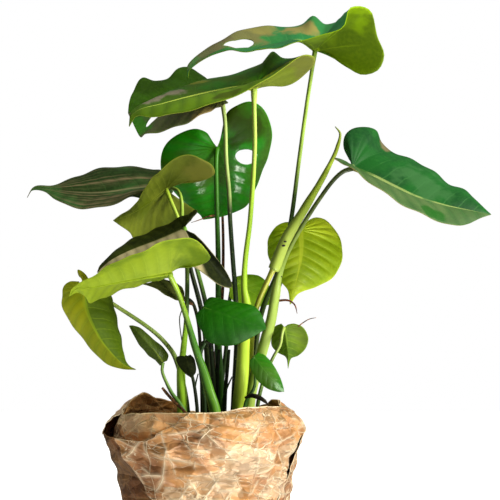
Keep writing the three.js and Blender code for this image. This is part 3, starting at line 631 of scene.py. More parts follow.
def flesh_color(material, uv, patches, flesh, deep, tint):
    color = mixed(material, patches, flesh, deep)
    if not tint:
        return color
    # painted sheen: pale grey-brown streaks laid over the flesh
    if tint[0] == "streaks":
        streaks = noise_at(material, coordinates(material, "UV", STREAK_STRETCH), 1.0, 4.0)
        share = scaled(material, streaks, STREAKS_FROM, STREAKS_FULL, 0.0, STREAKS_SHARE)
        return mixed(material, share, color, paint(*tint[1]))
    # painted light and sheen: one half takes another tone from start onwards
    half, tint_color, start = tint
    return mixed(material, painted_half_share(material, uv, patches, half, start), color, paint(*tint_color))


# %% [markdown]
# Over the flesh come the vein colours: tissue near a vein is a little darker, which is painted shade of the
# quilted relief, the vein and the rim are paler, and the midrib of some leaves has a colour of its own. A
# fine web of small cells gives the leathery bump. The veins are sunk on the upper face and raised on the
# under face.
# The coat is the wax on the leaf.

# %% Leaf materials
COAT_ROUGHNESS = 0.17
PATCH_SCALE, SPECK_SCALE, CELL_SCALE = 15.0, 260.0, 420.0
SPECK_SHARE = 0.1
SHADE_SHARE = 0.3
RIM_FROM, RIM_TO = 0.49, 0.4995
PATCH_ROUGHER, VEIN_ROUGHER = 0.08, 0.1
CELL_BUMP, VEIN_BUMP, SHADE_BUMP = 0.1, 0.8, 0.4
LEAF_BUMP = 0.4
LEAF_BUMP_DEPTH = 0.0005


def leaf_material(name, flesh, deep, vein, veins, roughness, coat, line_strength, rim_strength, raised,
                  tint=None, rib=None):
    material = new_material(name, Coat_Weight=coat, Coat_Roughness=COAT_ROUGHNESS, Specular_IOR_Level=0.1)
    uv = axes(material, coordinates(material, "UV"))
    body = coordinates(material, "Object")
    line, near_vein, rib_line, from_rib = draw_veins(material, uv, body, veins)
    patches = scaled(material, noise_at(material, body, PATCH_SCALE, 2.0), 0.42, 0.58)
    specks = scaled(material, noise_at(material, body, SPECK_SCALE), 0.35, 0.7)
    vein_paint = paint(*vein)
    color = flesh_color(material, uv, patches, paint(*flesh), paint(*deep), tint)
    color = mixed(material, times(material, specks, SPECK_SHARE), color, vein_paint)
    # painted shade: the tissue near each vein is darkened towards the deep colour
    color = mixed(material, times(material, near_vein, SHADE_SHARE), color, paint(*deep))
    color = mixed(material, times(material, line, line_strength), color, vein_paint)
    if rib:
        color = mixed(material, times(material, rib_line, rib[1]), color, paint(*rib[0]))
    rim = scaled(material, from_rib, RIM_FROM, RIM_TO, 0.0, rim_strength)
    set_surface(material, "Base Color", mixed(material, rim, color, vein_paint))
    rough = scaled(material, patches, 0.0, 1.0, roughness, roughness + PATCH_ROUGHER)
    set_surface(material, "Roughness", maths(material, "ADD", rough, times(material, line, VEIN_ROUGHER)))
    cells = add_node(material, "ShaderNodeTexVoronoi", {"Vector": body, "Scale": CELL_SCALE})
    sign = 1.0 if raised else -1.0
    veins_height = times(material, line, VEIN_BUMP * sign)
    height = maths(material, "MULTIPLY_ADD", cells.outputs["Distance"], CELL_BUMP, veins_height)
    height = maths(material, "MULTIPLY_ADD", near_vein, SHADE_BUMP * sign, height)
    set_bump(material, height, LEAF_BUMP, LEAF_BUMP_DEPTH)
    return material

# %% [markdown]
# The blade is a ruled sheet. Each vein runs straight from the midrib to the edge and lifts a little on the
# way, because each half of a leaf is slightly domed. The veins also bend towards the tip. Between two veins
# the flesh swells, which gives the quilted look, and the edge has a slow ripple. The shape comes from
# curves and not from sculpting, so that the outline stays on the drawing.

# %% Blade surface
SMALL = ("back", "centre", "small_right", "small_glossy", "small_left", "small_dark", "narrow")
FAN_VEINS, RIB_VEINS = 5, 9
SMALL_FAN_VEINS, SMALL_RIB_VEINS = 3, 6
VEIN_BEND = 0.55
SWELL = 0.0005
STRONG_SWELL = {"heart": 0.0015, "hanging": 0.0009, "small_right": 0.0009}
RIPPLE = 0.0009
RIPPLES_A_VEIN = 0.9
RIPPLE_SHIFT = 1.7
FULL_CHORD = 0.04


def vein_counts(name):
    return (SMALL_FAN_VEINS, SMALL_RIB_VEINS) if name in SMALL else (FAN_VEINS, RIB_VEINS)


def blade_halves(name):
    leaf = LEAVES[name]
    rib = [place(point) for point in leaf["midrib"]]
    halves = []
    for side, fan, arch in zip(("left", "right"), leaf["fan"], leaf["arch"]):
        edge = [place(point) for point in leaf[side]] + [rib[-1]]
        ring = rib + edge[-2::-1] if side == "left" else rib[:1] + edge + rib[-2:0:-1]
        halves.append((smooth_line(edge), outline_normal(ring), fan, arch / MM_IN_M))
    return smooth_line(rib), halves


def hump(share):
    return 4 * share * (1 - share)


def blade_shape(name):
    rib, halves = blade_halves(name)
    fan_veins, rib_veins = vein_counts(name)
    veins = fan_veins + rib_veins
    phase = len(name) * RIPPLE_SHIFT
    swell = STRONG_SWELL.get(name, SWELL)

    def shape(u, v):
        edge, up, fan, arch = halves[0 if v > 0.5 else 1]
        out = abs(2 * v - 1)
        at = min(u * veins + VEIN_BEND * out**2 * hump(u), veins)
        along = max(at - fan_veins, 0) / rib_veins
        share = fan * at / fan_veins if at < fan_veins else fan + (1 - fan) * along
        root = rib(along)
        chord = edge(share) - root
        full = min(1, chord.length / FULL_CHORD)
        lift = (arch + swell * abs(math.sin(math.pi * u * veins))) * hump(out)
        wave = RIPPLE * out**4 * math.sin(math.pi * at * RIPPLES_A_VEIN + phase)
        return root + chord * out + up * (lift + wave) * full

    return shape, veins


def blade_holes(name, veins):
    holes = []
    for side, column, half_width, low, high in LEAVES[name]["holes"]:
        middle = 0.5 + (low + high) / 4 * (1 if side == "left" else -1)
        holes.append((column / veins, middle, half_width / veins, (high - low) / 4))
    return holes


top_veins = sum(vein_counts("top"))
print("veins on the top leaf:", top_veins, "holes:", blade_holes("top", top_veins))

# %% [markdown]
# A stem is round, a little thicker where it leaves the soil and where it meets its leaf. It is the grid
# again, with u along the line and v round it. The midrib under a leaf is the same kind of tube, half sunk
# into the blade.

# %% Tubes
AROUND = 16
AHEAD = 0.004


def widths_along(points, widths):
    at = distances(points)

    def width(share):
        k, u = find_stretch(at, share * at[-1])
        return widths[k] + (widths[k + 1] - widths[k]) * ease(u)

    return width


def tube(name, line, width, rings, around=AROUND, swing=None):
    def shape(u, v):
        centre = line(u)
        ahead = (line(min(u + AHEAD, 1)) - line(max(u - AHEAD, 0))).normalized()
        side = ahead.cross(DEEPER).normalized()
        front = side.cross(ahead)
        angle = 2 * math.pi * v
        reach = width(u) * (swing(u, angle) if swing else 1)
        return centre + (side * math.cos(angle) + front * math.sin(angle)) * reach

    obj = shaped_grid(name, rings, around, shape)
    close_up(obj)
    return obj


# %% [markdown]
# The colours of each leaf follow its age: new leaves are bright, old ones deep and dull, and the darkest
# greens, of leaves that hang in the shade of others, are partly painted shade. A row of LEAF_LOOKS gives the
# flesh and the deeper patches of the upper face, the same two of the under face, the roughness and the weight
# of the wax coat. TINTS streaks a leaf with a painted sheen or gives one half another tone of painted light
# and sheen, RIBS gives a midrib its own colour and how much of it shows, and VEIN_STRENGTH says how clearly
# the veins of the upper face show.

# %% Leaf colours
LEAF_SLOTS = {
    "leaf_deep": ("top", "broad", "behind", "right", "small_glossy", "back"),
    "leaf_fresh": ("glossy", "centre"),
    "leaf_dark": ("dark_left", "tent", "small_dark", "narrow", "small_left"),
    "leaf_olive": ("olive", "hanging", "heart"),
    "leaf_bright": ("bright", "small_right"),
}
# tent and small_dark are near-black partly as painted shade, because they hang in the shade of other leaves
LEAF_LOOKS = {
    "top": ((36, 108, 56), (48, 112, 50), (118, 150, 0), (84, 110, 0), 0.45, 0.06),
    "broad": ((42, 98, 14), (58, 86, 16), (124, 140, 36), (98, 112, 16), 0.5, 0.03),
    "behind": ((50, 92, 0), (38, 68, 0), (96, 88, 60), (60, 58, 42), 0.5, 0.03),
    "glossy": ((22, 116, 0), (46, 86, 0), (104, 146, 40), (84, 126, 20), 0.45, 0.95),
    "dark_left": ((44, 84, 34), (28, 46, 12), (110, 106, 84), (84, 80, 62), 0.5, 0.03),
    "olive": ((84, 112, 40), (66, 92, 30), (100, 110, 22), (68, 80, 8), 0.5, 0.0),
    "tent": ((46, 56, 6), (18, 26, 2), (150, 136, 112), (100, 98, 66), 0.55, 0.0),
    "bright": ((90, 140, 40), (70, 120, 30), (142, 164, 30), (106, 132, 16), 0.5, 0.0),
    "hanging": ((90, 114, 0), (68, 92, 0), (146, 150, 20), (120, 124, 10), 0.5, 0.0),
    "right": ((24, 86, 30), (20, 66, 28), (136, 132, 86), (116, 116, 66), 0.46, 0.0),
    "heart": ((194, 216, 40), (142, 172, 6), (186, 204, 46), (150, 174, 20), 0.5, 0.03),
    "back": ((164, 212, 44), (112, 166, 14), (150, 190, 40), (110, 150, 24), 0.5, 0.03),
    "centre": ((22, 90, 0), (18, 74, 0), (120, 160, 60), (100, 140, 44), 0.5, 0.0),
    "small_right": ((94, 136, 38), (68, 104, 24), (116, 144, 28), (70, 100, 12), 0.5, 0.0),
    "small_glossy": ((36, 106, 8), (62, 108, 20), (110, 150, 50), (90, 130, 34), 0.35, 0.25),
    "small_left": ((70, 90, 22), (50, 68, 12), (120, 136, 50), (100, 118, 34), 0.45, 0.03),
    "small_dark": ((44, 54, 8), (20, 28, 4), (80, 96, 30), (62, 78, 18), 0.5, 0.03),
    "narrow": ((84, 90, 34), (46, 54, 14), (104, 106, 50), (72, 80, 30), 0.5, 0.03),
}
# painted sheen and light: the streaks of dark_left are a painted grey-brown sheen, and each half tone is
# painted light and sheen for how that half faces the light
TINTS = {
    "broad": ("left", (94, 126, 4), 0.0),
    "tent": ("left", (172, 160, 118), 0.3),
    "behind": ("left", (100, 92, 76), 0.0),
    "dark_left": ("streaks", (126, 106, 78)),
    "hanging": ("right", (146, 150, 16), 0.0),
    "right": ("right", (82, 104, 60), 0.0),
}
RIBS = {
    "broad": ((186, 206, 84), 0.9),
    "right": ((150, 164, 96), 0.7),
    "top": ((140, 160, 80), 0.4),
    "dark_left": ((130, 120, 90), 0.4),
}
VEIN_STRENGTH = {
    "hanging": 0.5, "right": 0.4, "heart": 0.35, "glossy": 0.3, "dark_left": 0.14,
    "bright": 0.1, "small_dark": 0.1, "centre": 0.06,
}
UNDER_VEIN_STRENGTH = {"bright": 0.2, "olive": 0.3, "broad": 0.3}
VEINS_UPPER, VEINS_UNDER = 0.2, 0.45
RIM_UPPER, RIM_UNDER = 0.6, 0.2
UNDER_ROUGHER, MOST_ROUGH = 0.15, 0.6
VEIN_LIFT = (46, 44, 30)


def lighter(color):
    return tuple(min(c + lift, BRIGHTEST) for c, lift in zip(color, VEIN_LIFT))


print("looks of", len(LEAF_LOOKS), "leaves, tints of", len(TINTS))

# %% [markdown]
# Single blotches lie at places of the drawing, each with its face, its spot, its radius in mm and its colour,
# and noise makes its edge ragged. Most of them are painted light: painted shade where a leaf lies in the
# shadow of another, and painted sheen and lit patches; a few are a leaf's own colour, such as the tan edge
# of behind and the pale joint of broad. Only the round leaf in the middle shines strongly. Its wax is worn
# off at the DULL spots, so its highlights keep to the middle, and the coat is weighed by the distance to
# them.

# %% Blotches and dull spots
LIGHT_AND_TONE_PATCHES = {
    # top: the bright lime lobe of the under face is painted light, and the brown blotches of the upper face
    # are partly brown tint and partly painted reflection
    "top": [
        ("under", (362, 8, -62), 46, (136, 170, 0)),
        ("upper", (232, 38, 30), 46, (112, 104, 62)),
        ("upper", (203, 56, 16), 44, (92, 88, 56)),
        ("upper", (258, 31, 60), 30, (128, 124, 62)),
        ("upper", (299, 30, 50), 24, (136, 124, 66)),
    ],
    # glossy: the first blotch is painted shade on the right lobe
    "glossy": [
        ("upper", (238, 124, 60), 30, (40, 56, 0)),
        ("upper", (216, 205, 60), 34, (70, 80, 8)),
    ],
    # broad: the grey blotches are painted sheen, and the pale one at the joint is the stem's own colour
    "broad": [
        ("upper", (160, 88, 30), 22, (112, 116, 80)),
        ("upper", (174, 96, 6), 17, (124, 116, 98)),
        ("upper", (158, 101, 2), 13, (124, 116, 98)),
        ("upper", (145, 106, -6), 9, (124, 116, 98)),
        ("upper", (229, 99, -60), 20, (64, 78, 8)),
        ("upper", (254, 88, 0), 12, (190, 206, 80)),
        ("under", (254, 88, 0), 12, (190, 206, 80)),
        ("upper", (198, 84, 40), 16, (112, 118, 34)),
        ("under", (300, 62, -30), 28, (122, 126, 50)),
    ],
    "behind": [
        ("upper", (207, 111, 12), 20, (156, 134, 88)),
        ("under", (207, 111, 12), 20, (156, 134, 88)),
        ("upper", (140, 128, 10), 22, (50, 122, 16)),
        ("under", (140, 128, 10), 22, (50, 122, 16)),
    ],
    # bright: painted shade on the lobe by the stem
    "bright": [
        ("under", (205, 262, -90), 30, (92, 118, 8)),
    ],
    "olive": [
        ("under", (200, 168, 0), 26, (112, 112, 34)),
        ("under", (150, 215, 0), 18, (84, 98, 8)),
    ],
    # heart: painted shade on the left part, behind the stem
    "heart": [
        ("upper", (275, 250, 40), 24, (110, 140, 4)),
        ("under", (275, 250, 40), 24, (110, 140, 4)),
    ],
    "right": [
        ("upper", (362, 160, 0), 22, (24, 84, 28)),
        ("upper", (420, 185, 0), 34, (52, 98, 52)),
        ("upper", (428, 211, -56), 13, (30, 86, 24)),
        ("upper", (440, 216, -50), 13, (30, 86, 24)),
        ("upper", (384, 148, 45), 11, (112, 98, 72)),
    ],
    # back: painted shade on the left part
    "back": [
        ("upper", (240, 285, 60), 16, (64, 90, 10)),
        ("under", (240, 285, 60), 16, (64, 90, 10)),
    ],
}
PATCH_CORE = 0.5
PATCH_SHARE = 0.85
RAGGED_SCALE = 40.0
RAGGED = 0.35
DULL = {
    "glossy": [
        ((240, 122, 60), 40),
        ((186, 148, 66), 38),
        ((204, 209, 106), 22),
        ((236, 207, 104), 20),
    ],
}
DULL_CORE = 0.8


def add_light_and_tone_patches(material, face, name):
    for on_face, spot, radius, color in LIGHT_AND_TONE_PATCHES.get(name, []):
        if on_face == face:
            body = coordinates(material, "Object")
            away = distance_to(material, body, place(spot))
            ragged = scaled(material, noise_at(material, body, RAGGED_SCALE), 0.3, 0.7, -RAGGED, RAGGED)
            edge = radius / MM_IN_M
            away = maths(material, "MULTIPLY_ADD", ragged, edge, away)
            share = scaled(material, away, edge, edge * PATCH_CORE, 0.0, PATCH_SHARE)
            below = material.node_tree.nodes["Principled BSDF"].inputs["Base Color"].links[0].from_socket
            # painted light, painted shade and tone are laid over the base colour here
            set_surface(material, "Base Color", mixed(material, share, below, paint(*color)))


def add_dull_spots(material, name):
    waxy = LEAF_LOOKS[name][-1]
    for spot, radius in DULL.get(name, []):
        away = distance_to(material, coordinates(material, "Object"), place(spot))
        edge = radius / MM_IN_M
        waxy = times(material, waxy, scaled(material, away, edge * DULL_CORE, edge))
        set_surface(material, "Coat Weight", waxy)


print("blotches:", sum(len(spots) for spots in LIGHT_AND_TONE_PATCHES.values()))

# %% [markdown]
# Each blade gets its two faces by Solidify, with the upper material outside and the under material inside,
# and a midrib joined on below. Two separate sheets would gape at the edge, so one sheet is thickened.

# %% Blades
BLADE_THICK = 0.0008
COLUMNS_A_VEIN = 8
ROWS = 36
RIB_WIDTH = 0.0013
RIB_BELOW = 0.35
RIB_REACH = 0.97
RIB_TAPER = 0.75
RIB_RISE = 0.5
RIB_RINGS, RIB_AROUND = 40, 10


def leaf_faces(name, veins):
    flesh, deep, pale, pale_deep, roughness, coat = LEAF_LOOKS[name]
    upper = leaf_material(f"{name}_upper", flesh, deep, lighter(flesh), veins, roughness, coat,
                          VEIN_STRENGTH.get(name, VEINS_UPPER), RIM_UPPER, False,
                          TINTS.get(name), RIBS.get(name))
    under = leaf_material(f"{name}_under", pale, pale_deep, lighter(pale), veins,
                          min(roughness + UNDER_ROUGHER, MOST_ROUGH), 0.0,
                          UNDER_VEIN_STRENGTH.get(name, VEINS_UNDER), RIM_UNDER, True)
    add_light_and_tone_patches(upper, "upper", name)
    add_light_and_tone_patches(under, "under", name)
    add_dull_spots(upper, name)
    return upper, under


def make_midrib(name):
    rib, halves = blade_halves(name)
    below = -(halves[0][1] + halves[1][1]).normalized() * (BLADE_THICK / 2 + RIB_WIDTH * RIB_BELOW)
    return tube(f"midrib_{name}", lambda u: rib(u * RIB_REACH) + below * (1 - u * RIB_RISE),
                lambda u: RIB_WIDTH * (1 - RIB_TAPER * u), RIB_RINGS, RIB_AROUND)


def build_blade(name):
    shape, veins = blade_shape(name)
    obj = shaped_grid(f"leaf_{name}", veins * COLUMNS_A_VEIN, ROWS, shape, blade_holes(name, veins))
    faces = leaf_faces(name, veins)
    for material in faces:
        obj.data.materials.append(material)
    thicken(obj, BLADE_THICK, 0, material_offset=1, material_offset_rim=1)
    midrib = make_midrib(name)
    for material in faces:
        midrib.data.materials.append(material)
    for face in midrib.data.polygons:
        face.material_index = 1
    join([obj, midrib])
    finish_piece(obj, [f"blade_{name}"])


for slot_name, names in LEAF_SLOTS.items():
    for name in names:
        build_blade(name)

# %% [markdown]
# A stem changes colour on its way up: many are pale or yellow-green under the leaf, dark where they stand in
# the bunch, which is partly painted shade, and some are bright again at the sheath in the soil. The UV map
# runs along the tube, so three colours are blended by u, and noise stretched in u draws fine streaks
# whichever way a stem bends. The left side of a stem is darker, a painted shade for light from the right, and
# tiny pale dots are scattered over the skin.

# %% Stem materials
STEM_ROUGHNESS = 0.36
ROUGHER_PATCHES = 0.15
SHEATH_ENDS = 0.22
SHEATH_BLEND = 0.28
TOP_STARTS, TOP_FULL = 0.62, 0.9
DRIFT = 0.3
DARK_FROM, DARK_FULL, DARK_SHARE = 0.1, -0.75, 0.8
LEFT_SHADE_TONE = 0.3
PALE_SIDE, PALE_LIFT = 1.25, 14
STEM_STREAKS = (2.0, 22.0, 1.0)
STREAK_SHARE = 0.22
DOT_SCALE = 520.0
DOT_SHARE = 0.25
STREAK_BUMP, DOT_BUMP = 0.5, 0.15
STEM_BUMP, STEM_BUMP_DEPTH = 0.25, 0.0005


def stem_color(material, patches, base, middle, top, sheath):
    along = axes(material, coordinates(material, "UV"))[0]
    level = maths(material, "SUBTRACT", along, DRIFT / 2)
    drift = maths(material, "MULTIPLY_ADD", patches, DRIFT, level)
    above = scaled(material, drift, sheath, sheath + SHEATH_BLEND)
    color = mixed(material, above, paint(*base), paint(*middle))
    color = mixed(material, scaled(material, drift, TOP_STARTS, TOP_FULL), color, paint(*top))
    # painted shade: the side of a stem that faces left is darkened
    facing = axes(material, coordinates(material, "Normal"))[0]
    dark = scaled(material, facing, DARK_FROM, DARK_FULL, 0.0, DARK_SHARE)
    return mixed(material, dark, color, shaded(base, LEFT_SHADE_TONE))


def stem_material(name, base, middle, top, sheath=SHEATH_ENDS):
    material = new_material(name, Coat_Weight=0.05, Coat_Roughness=0.25, Specular_IOR_Level=0.25)
    body = coordinates(material, "Object")
    streaks = noise_at(material, coordinates(material, "UV", STEM_STREAKS), 1.0, 4.0)
    patches = noise_at(material, body, 26.0, 2.0)
    dots = scaled(material, noise_at(material, body, DOT_SCALE), 0.62, 0.74)
    pale = shaded(top, PALE_SIDE, PALE_LIFT)
    color = stem_color(material, patches, base, middle, top, sheath)
    color = mixed(material, scaled(material, streaks, 0.5, 0.8, 0.0, STREAK_SHARE), color, pale)
    color = mixed(material, times(material, dots, DOT_SHARE), color, pale)
    set_surface(material, "Base Color", color)
    rough = scaled(material, patches, 0.3, 0.7, STEM_ROUGHNESS, STEM_ROUGHNESS + ROUGHER_PATCHES)
    set_surface(material, "Roughness", rough)
    height = maths(material, "MULTIPLY_ADD", streaks, STREAK_BUMP, times(material, dots, DOT_BUMP))
    set_bump(material, height, STEM_BUMP, STEM_BUMP_DEPTH)
    return material


# %% [markdown]
# STEM_LOOKS gives each stem its colour at the soil, in the middle and under the leaf. Every stem is a tube on
# its points of the drawing, and slightly_ribbed makes it not quite round, as a grown stem is.

# %% Stems
# the near-black colours low on the stems are partly painted shade, for the gaps of the bunch
STEM_LOOKS = {
    "top": ((26, 44, 12), (42, 70, 18), (160, 190, 76)),
    "broad": ((182, 214, 54), (164, 204, 52), (182, 210, 92)),
    "behind": ((18, 34, 14), (34, 58, 30), (178, 202, 112)),
    "glossy": ((44, 84, 20), (50, 106, 20), (62, 128, 24)),
    "dark_left": ((14, 26, 8), (20, 32, 12), (156, 188, 70)),
    "olive": ((160, 214, 46), (38, 66, 12), (170, 196, 60), 0.3),
    "tent": ((10, 18, 6), (20, 32, 12), (108, 156, 48)),
    "bright": ((84, 140, 34), (54, 108, 14), (150, 184, 44)),
    "hanging": ((40, 66, 20), (140, 168, 74), (180, 200, 96)),
    "right": ((166, 194, 84), (168, 194, 88), (62, 76, 32)),
    "heart": ((40, 76, 16), (46, 92, 18), (60, 104, 26)),
    "back": ((26, 44, 12), (34, 56, 16), (60, 92, 30)),
    "centre": ((18, 32, 8), (22, 38, 10), (56, 106, 28)),
    "small_right": ((40, 66, 20), (84, 116, 46), (170, 190, 96)),
    "small_glossy": ((44, 78, 26), (56, 96, 34), (80, 124, 50)),
    "small_left": ((44, 100, 18), (84, 130, 46), (130, 166, 80)),
    "small_dark": ((12, 20, 6), (18, 28, 10), (40, 60, 22)),
    "narrow": ((14, 22, 8), (20, 28, 10), (56, 60, 34)),
}
RING_STEP = 0.004
FEWEST_RINGS = 16
SKIN_RIBS = [(0.03, 3, 9), (0.015, 5, -17)]


def build_tube(name, points, rings_apart, around=AROUND, swing=None):
    placed = [place(point) for point in points]
    rings = max(FEWEST_RINGS, round(distances(placed)[-1] / rings_apart))
    widths = widths_along(placed, [point[3] / MM_IN_M for point in points])
    return tube(name, smooth_line(placed), widths, rings, around, swing)


def slightly_ribbed(u, angle):
    return 1 + sum(depth * math.sin(ribs * angle + twist * u) for depth, ribs, twist in SKIN_RIBS)


for name, colors in STEM_LOOKS.items():
    obj = build_tube(f"petiole_{name}", STEMS[name], RING_STEP, AROUND, slightly_ribbed)
    obj.data.materials.append(stem_material(f"stem_{name}", *colors))
    finish_piece(obj, [f"stem_{name}"])

# %% [markdown]
# The newest leaf is still rolled up. Its blade is wound round itself like a scroll, so one edge shows as a
# line along it, and its lower end stands open round its own thin petiole like a collar. The scroll is a tube
# whose radius grows by an eighth on the way round, which leaves a step at the edge.

# %% Rolled leaf
COLLAR_AT = 6
COLLAR = [[273.5, 270, -9, 6.2], [275, 267, -9.5, 6.6]]
SCROLL_STEP = 0.06
SCROLL_STARTS = 0.62
SCROLL_TWIST = 0.15
SCROLL_RINGS_APART = 0.003
SCROLL_AROUND = 28


def scroll(u, angle):
    turn = (angle / 2 / math.pi + SCROLL_STARTS - SCROLL_TWIST * u) % 1
    return 1 - SCROLL_STEP + SCROLL_STEP * 2 * turn


spear_points = STEMS["spear"]
petiole = build_tube("rolled_petiole", spear_points[:COLLAR_AT + 1], RING_STEP, AROUND, slightly_ribbed)
petiole.data.materials.append(stem_material("stem_spear", (150, 176, 40), (176, 186, 44), (196, 198, 60)))
scroll_points = COLLAR + spear_points[COLLAR_AT + 1:]
rolled = build_tube("rolled_leaf", scroll_points, SCROLL_RINGS_APART, SCROLL_AROUND, scroll)
rolled.data.materials.append(stem_material("rolled_skin", (180, 202, 82), (148, 172, 46), (124, 140, 34)))
join([petiole, rolled])
print("rolled leaf:", len(petiole.data.polygons), "faces")

# %% [markdown]
# Small dark specks sit on the rolled leaf, each a flattened ball pressed into the skin. They belong to the
# same piece, so the rolled leaf is finished here.

# %% Specks on the rolled leaf
SPECKS = [((283.3, 246, -19), 0.002), ((285, 242, -19), 0.0017), ((281.5, 277, -2), 0.001)]
SPECK_FLATNESS = (1, 0.5, 0.6)

specks = []
for spot, size in SPECKS:
    bpy.ops.object.select_all(action="DESELECT")
    bpy.ops.mesh.primitive_ico_sphere_add(subdivisions=2, radius=size, location=place(spot))
    speck = bpy.context.active_object
    speck.scale = SPECK_FLATNESS
    bpy.ops.object.transform_apply(location=True, rotation=True, scale=True)
    specks.append(speck)
speck_paint = new_material("dark_specks", Roughness=0.8)
crumbly = noise_at(speck_paint, coordinates(speck_paint, "Object"), 900.0)
set_surface(speck_paint, "Base Color", mixed(speck_paint, crumbly, paint(14, 10, 6), paint(48, 36, 22)))
for speck in specks:
    speck.data.materials.append(speck_paint)
join([petiole] + specks)
petiole.name = "rolled_leaf"
finish_piece(petiole, ["stem_spear"])

# %% [markdown]
# Old leaves leave dry things behind: an aerial root, brown tendrils, papery sheath ends, a dried leaf tip and
# a thread. A few thin near-black stems stand between the others, painted shade in the gaps of the bunch. Each
# is a thin tube on a few points of the drawing. They share one rough, barky finish in two tones, and each has
# its own colour.

# %% Dry parts and near-black stems for shade
TWIGS = {
    "tendril_right": [[279, 301, -6, 1.3], [286, 300.5, -12, 1.2], [291, 302, -15, 1], [295, 306, -16, 0.8],
        [297, 314, -16, 0.3]],
    "tendril_small": [[298, 327, -14, 0.8], [303, 323, -15, 0.6], [309, 319.5, -16, 0.5],
        [316, 318, -16, 0.3]],
    "sheath_flake": [[245, 398, -34, 1.2], [251, 396, -38, 2.4], [258, 397.5, -44, 2.6], [264, 401, -50, 2],
        [268, 405, -54, 0.6]],
    "sheath_stub": [[162, 388, -30, 1.3], [166, 393, -31, 1.7], [175, 403, -32, 1.6], [187, 415, -34, 1.5],
        [190, 430, -34, 1.5]],
    "dry_tip": [[214, 216, 109, 1.2], [209, 216.5, 106, 1], [200, 220, 102, 0.6], [191, 223, 100, 0.3]],
    "dry_end": [[183, 299, 15, 0.8], [187, 303, 14, 1.6], [191, 304, 13, 1.8], [193, 305.5, 13, 0.9]],
    "thread": [[181.5, 311, -4, 0.6], [179.5, 318, -6, 0.6], [180, 329, -6, 0.6], [182, 343, -6, 0.6]],
    "shoot_right": [[232, 377, -6, 0.7], [227, 388, -8, 1], [223, 400, -8, 1.2], [221, 420, -8, 1.4],
        [221, 446, -8, 1.4]],
    "shoot_left": [[198, 374, -4, 0.7], [195, 388, -6, 1], [196, 402, -6, 1.2], [197, 446, -6, 1.4]],
    "shoot_back": [[219, 350, 2, 1.8], [217, 372, 2, 2.4], [216, 395, 2, 2.6], [215, 446, 2, 2.6]],
    "shoot_far": [[229, 350, 6, 1.6], [227, 372, 6, 2], [225, 395, 6, 2.2], [224, 446, 6, 2.2]],
    "old_sheath": [[200, 352, -22, 1.4], [202, 345, -24, 2.4], [206, 342, -26, 2.6], [211, 345, -27, 1.6],
        [212, 348, -27, 0.6]],
}
DRY = (96, 66, 40)
# painted shade: the near-black tubes between the stems stand for the shade in the gaps of the bunch
SHADE_STEM, DEEP_SHADE_STEM = (26, 42, 12), (16, 26, 8)
TWIG_COLORS = {
    "thread": (40, 44, 24),
    "shoot_right": SHADE_STEM,
    "shoot_left": SHADE_STEM,
    "shoot_back": DEEP_SHADE_STEM,
    "shoot_far": DEEP_SHADE_STEM,
    "sheath_flake": (30, 24, 14),
    "old_sheath": (26, 34, 14),
    "tendril_right": (84, 50, 32),
}
TWIG_RINGS_APART = 0.002
TWIG_AROUND = 10


def dry_material(name, color):
    material = new_material(name, Specular_IOR_Level=0.2)
    bark = noise_at(material, coordinates(material, "Object"), 300.0, 5.0)
    dark, light = shaded(color, 0.5), shaded(color, 1.6)
    set_surface(material, "Base Color", mixed(material, scaled(material, bark, 0.35, 0.7), dark, light))
    set_surface(material, "Roughness", scaled(material, bark, 0.3, 0.7, 0.7, 0.95))
    set_bump(material, bark, 0.6, 0.0006)
    return material


root = build_tube("aerial_root", STEMS["brown"], RING_STEP, AROUND, slightly_ribbed)
root.data.materials.append(dry_material("aerial_root", (70, 44, 30)))
finish_piece(root, ["stem_brown"])
for name, points in TWIGS.items():
    twig = build_tube(name, points, TWIG_RINGS_APART, TWIG_AROUND)
    twig.data.materials.append(dry_material(name, TWIG_COLORS.get(name, DRY)))
    finish_piece(twig, [])

# %% [markdown]
# Potting soil is dark peat with crumbs and bits of bark. It fills the nursery pot to just under the rim. The
# mass is a turned profile with its top pushed into lumps. A profile is a list of [radius, height] in mm.

# %% Soil
SOIL_PROFILE = [(0, 4.0), (52, 4.0), (57, 4.4), (58.5, 8), (76.5, 138), (75.5, 141.5), (60, 143), (40, 145),
                (20, 146), (0, 146.5)]
SOIL_TOP = 140
SOIL_RINGS, SOIL_AROUND = 90, 72
LUMPS = [(0.0022, 60), (0.0012, 170)]


def profile_line(profile):
    return smooth_line([Vector((r, 0, z)) / MM_IN_M for r, z in profile])


def soil_lump(x, y):
    spot = Vector((x, y, 0))
    return sum(height * noise.noise(spot * scale) for height, scale in LUMPS)


def turned(profile, u, v):
    ring = profile_line(profile)(u)
    angle = 2 * math.pi * v
    return Vector((ring.x * math.cos(angle), ring.x * math.sin(angle), ring.z))


def soil_shape(u, v):
    spot = turned(SOIL_PROFILE, u, v)
    if spot.z > SOIL_TOP / MM_IN_M:
        spot.z += soil_lump(spot.x, spot.y)
    return spot


soil = shaped_grid("soil_mass", SOIL_RINGS, SOIL_AROUND, soil_shape)
close_up(soil)

soil_paint = new_material("peat")
grit = noise_at(soil_paint, coordinates(soil_paint, "Object"), 240.0, 5.0)
clods = noise_at(soil_paint, coordinates(soil_paint, "Object"), 45.0, 2.0)
crumbly_peat = mixed(soil_paint, scaled(soil_paint, grit, 0.35, 0.7), paint(34, 24, 16), paint(74, 52, 34))
peat = mixed(soil_paint, scaled(soil_paint, clods, 0.4, 0.7), crumbly_peat, paint(50, 36, 24))
set_surface(soil_paint, "Base Color", peat)
set_surface(soil_paint, "Roughness", scaled(soil_paint, grit, 0.2, 0.8, 0.85, 1.0))
set_bump(soil_paint, grit, 0.9, 0.002)
print("soil mass:", len(soil.data.polygons), "faces")

# %% [markdown]
# The crumbs are small faceted stones. Each is a ball of 20 faces, squashed, turned and half sunk into the top
# of the soil. The seed keeps them in the same places on every run.

